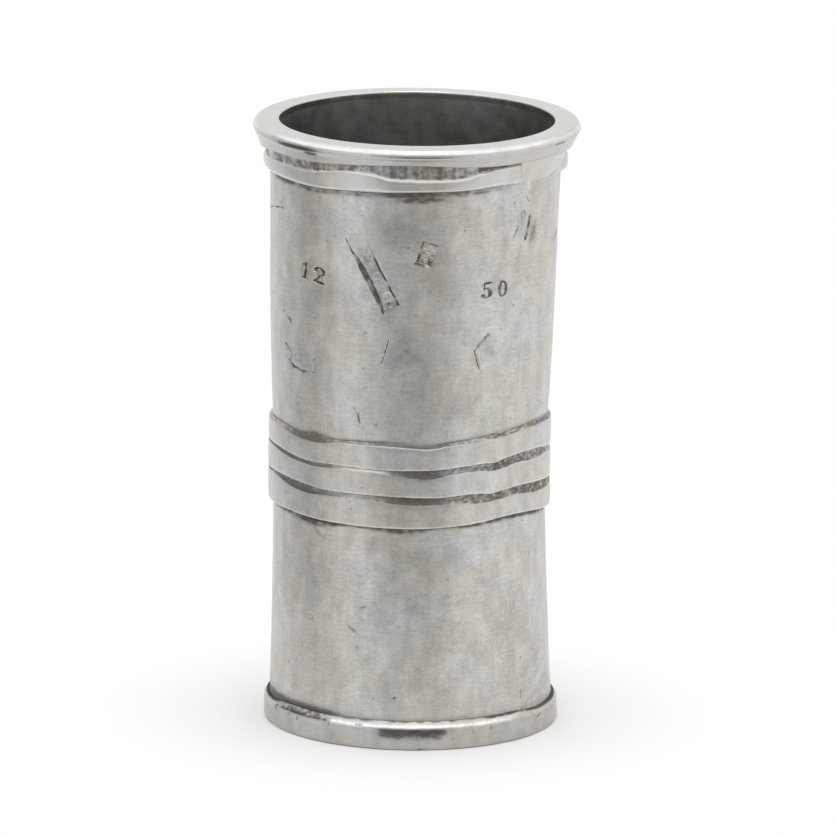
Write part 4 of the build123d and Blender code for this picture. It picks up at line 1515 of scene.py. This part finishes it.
def build_foot_ring():
    """Spins the ring, wears its edge, opens its joint at the sides, stains it, and paints the dark
    reflections and the highlight on its edge.
    """
    bm = turned(FOOT_CORNERS, 0.32, FOOT_STEPS, inner_step=1.0)
    azimuth, radius, height = read_points(bm)
    apart = np.maximum(ease((azimuth - 44) / 22), ease((-azimuth - 58) / 16))
    shoulder = ease((radius - FOOT_SEAT + 0.3) / 0.3) * ease((height - FOOT_EDGE[1]) / 0.7)
    radius = radius + 0.35 * apart * shoulder * ease((36.6 - radius) / 0.6)
    side = ease((radius - 35.9) / 0.4)
    depth, pits = strike(FOOT_MARKS, azimuth, height)
    waves = 0.05 * ripple(azimuth, height, 8, 6, 31) + 0.04 * ripple(azimuth, height, 2.4, 2.0, 32)
    radius = radius + side * (waves - depth)
    edge = bell((height - sum(FOOT_EDGE) / 2) / 0.42) * side
    height = height + 0.10 * edge * ripple(azimuth, radius, 3.0, 4, 33)
    height = np.where(height > 4.5, height - 0.35 * apart * (height - 4.5), height)
    # The joint with the barrel is dirty all round. A painted dark reflection darkens the edge at the
    # left and the shoulder above it, another lies under the edge in front, and the lowest half
    # millimetre is darker.
    dark_reflection_left_edge = between(azimuth, -74, 18, -32.5, 2.5)
    dark_reflection_left_edge = dark_reflection_left_edge * np.clip(0.8 + 0.45 * ripple(azimuth, height, 1.2, 0.9, 36), 0, 1)
    top_of_patch = ease((FOOT_EDGE[0] + 0.1 - height) / 0.35)
    uneven = 1 + 0.25 * ripple(azimuth, height, 2.5, 1.0, 37)
    patch = ease((height - 1.0) / 3.6) * uneven * top_of_patch * side
    patch = patch * ease((19 - np.abs(azimuth - 0.5)) / 10)
    tarnish = side * (0.14 + 0.16 * ripple(azimuth, height, 3, 2, 34))
    brown = between(azimuth, 30, 4, 50, 4)
    joint = shoulder * (0.5 + 0.4 * apart + 0.3 * brown + 0.3 * ripple(azimuth, height, 2.0, 2, 35))
    joint = np.maximum(joint, 0.7 * dark_reflection_left_edge * ease((height - FOOT_EDGE[0] - 0.1) / 0.25))
    grime = np.maximum.reduce((pits * side, joint, 0.95 * dark_reflection_left_edge * edge, 0.8 * patch, tarnish))
    grime = np.maximum(grime, 0.35 * ease((0.5 - height) / 0.4))
    # The edge is worn bright in front, which also paints the highlight along it.
    wear = edge * (1 - dark_reflection_left_edge) * between(azimuth, -36, 4, 48, 14)
    place_points(bm, azimuth, radius, height)
    finish_piece("foot", bm, "foot_ring", foot_finish, grime, wear)


build_foot_ring()

# %% [markdown]
# ## Bottom
# The bottom is a plain disc dropped onto the foot's flange. A circle is extruded, its rims are
# bevelled, and a few insets give it enough points for the slow waves of a sheet that was hammered
# flat. A spun section would do as well, but it ends in a pole of thin triangles in the middle.

# %% The bottom plate
plate = cad["base_plate"]


def build_bottom():
    """Extrudes, bevels and insets a disc, and bends it a little."""
    bm = bmesh.new()
    bmesh.ops.create_circle(
        bm, cap_ends=True, segments=160, radius=plate.outer * MM,
        matrix=Matrix.Translation((0, 0, plate.low * MM)),
    )
    grown = bmesh.ops.extrude_face_region(bm, geom=bm.faces[:])
    top = [item for item in grown["geom"] if isinstance(item, bmesh.types.BMVert)]
    bmesh.ops.translate(bm, verts=top, vec=(0, 0, (plate.high - plate.low) * MM))
    rims = [e for e in bm.edges if abs(e.verts[0].co.z - e.verts[1].co.z) < TOUCHING]
    bmesh.ops.bevel(
        bm, geom=rims, offset=0.3 * MM, segments=2, profile=0.5, affect="EDGES", material=-1,
    )
    for _ in range(14):
        flats = [f for f in bm.faces if len(f.verts) > 8]
        bmesh.ops.inset_region(bm, faces=flats, thickness=2.2 * MM)
    bmesh.ops.recalc_face_normals(bm, faces=bm.faces)
    azimuth, radius, height = read_points(bm)
    middle = 1 - ease(radius / plate.outer)
    waves = ripple(azimuth * radius / plate.outer, radius, 14, 14, 51)
    place_points(bm, azimuth, radius, height + middle * (0.25 + 0.2 * waves))
    finish_piece("bottom", bm, "base_plate", base_finish)


build_bottom()

# %% [markdown]
# Two fillets of solder close the corners of the bottom, inside and underneath. They were run in hot,
# so their faces are hollow and uneven. They could be bevels on the plate, but they are another
# metal, so each is a thin ring of its own.

# %% The solder fillets
def build_fillet(name, node, corners, seed):
    """A ring of solder with an uneven, hollow face."""
    bm = turned(corners, 0.3, 360)
    azimuth, radius, height = read_points(bm)
    size = cad[node]
    free = np.interp(radius, (size.inner, size.inner + 0.2), (1, 0.4))
    radius = radius + 0.12 * free * ripple(azimuth, height, 5, 5, seed)
    grime = 0.35 + 0.4 * ripple(azimuth, height, 4, 2, seed + 1)
    place_points(bm, azimuth, radius, height)
    finish_piece(name, bm, node, solder_finish, grime)


HOLLOW = 0.35          # millimetres: how near to the corner the middle of the hollow face comes
fill = cad["base_solder"]
inside_corner = [
    (fill.outer, fill.low, 0), (fill.outer, fill.high, 0.1),
    (fill.outer - HOLLOW, fill.low + HOLLOW, 0.2), (fill.inner, fill.low, 0.1),
]
build_fillet("bottom_fillet", "base_solder", inside_corner, 61)
fill = cad["foot_solder"]
under_corner = [
    (fill.outer, fill.high, 0), (fill.inner, fill.high, 0.1),
    (fill.outer - HOLLOW, fill.high - HOLLOW, 0.2), (fill.outer, fill.low, 0.1),
]
build_fillet("foot_fillet", "foot_solder", under_corner, 63)

# %% [markdown]
# ## The size of the dressed measure
# The dressed measure has to stay as large as the CAD model. Both boxes are printed.

# %% Print the two boxes
seen_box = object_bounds()
boxes = {
    "cad": [list(corner) for corner in cad_box],
    "seen": [list(corner) for corner in seen_box],
}
for name, box in boxes.items():
    print(name, "box in mm:", [[round(value / MM, 1) for value in corner] for corner in box])
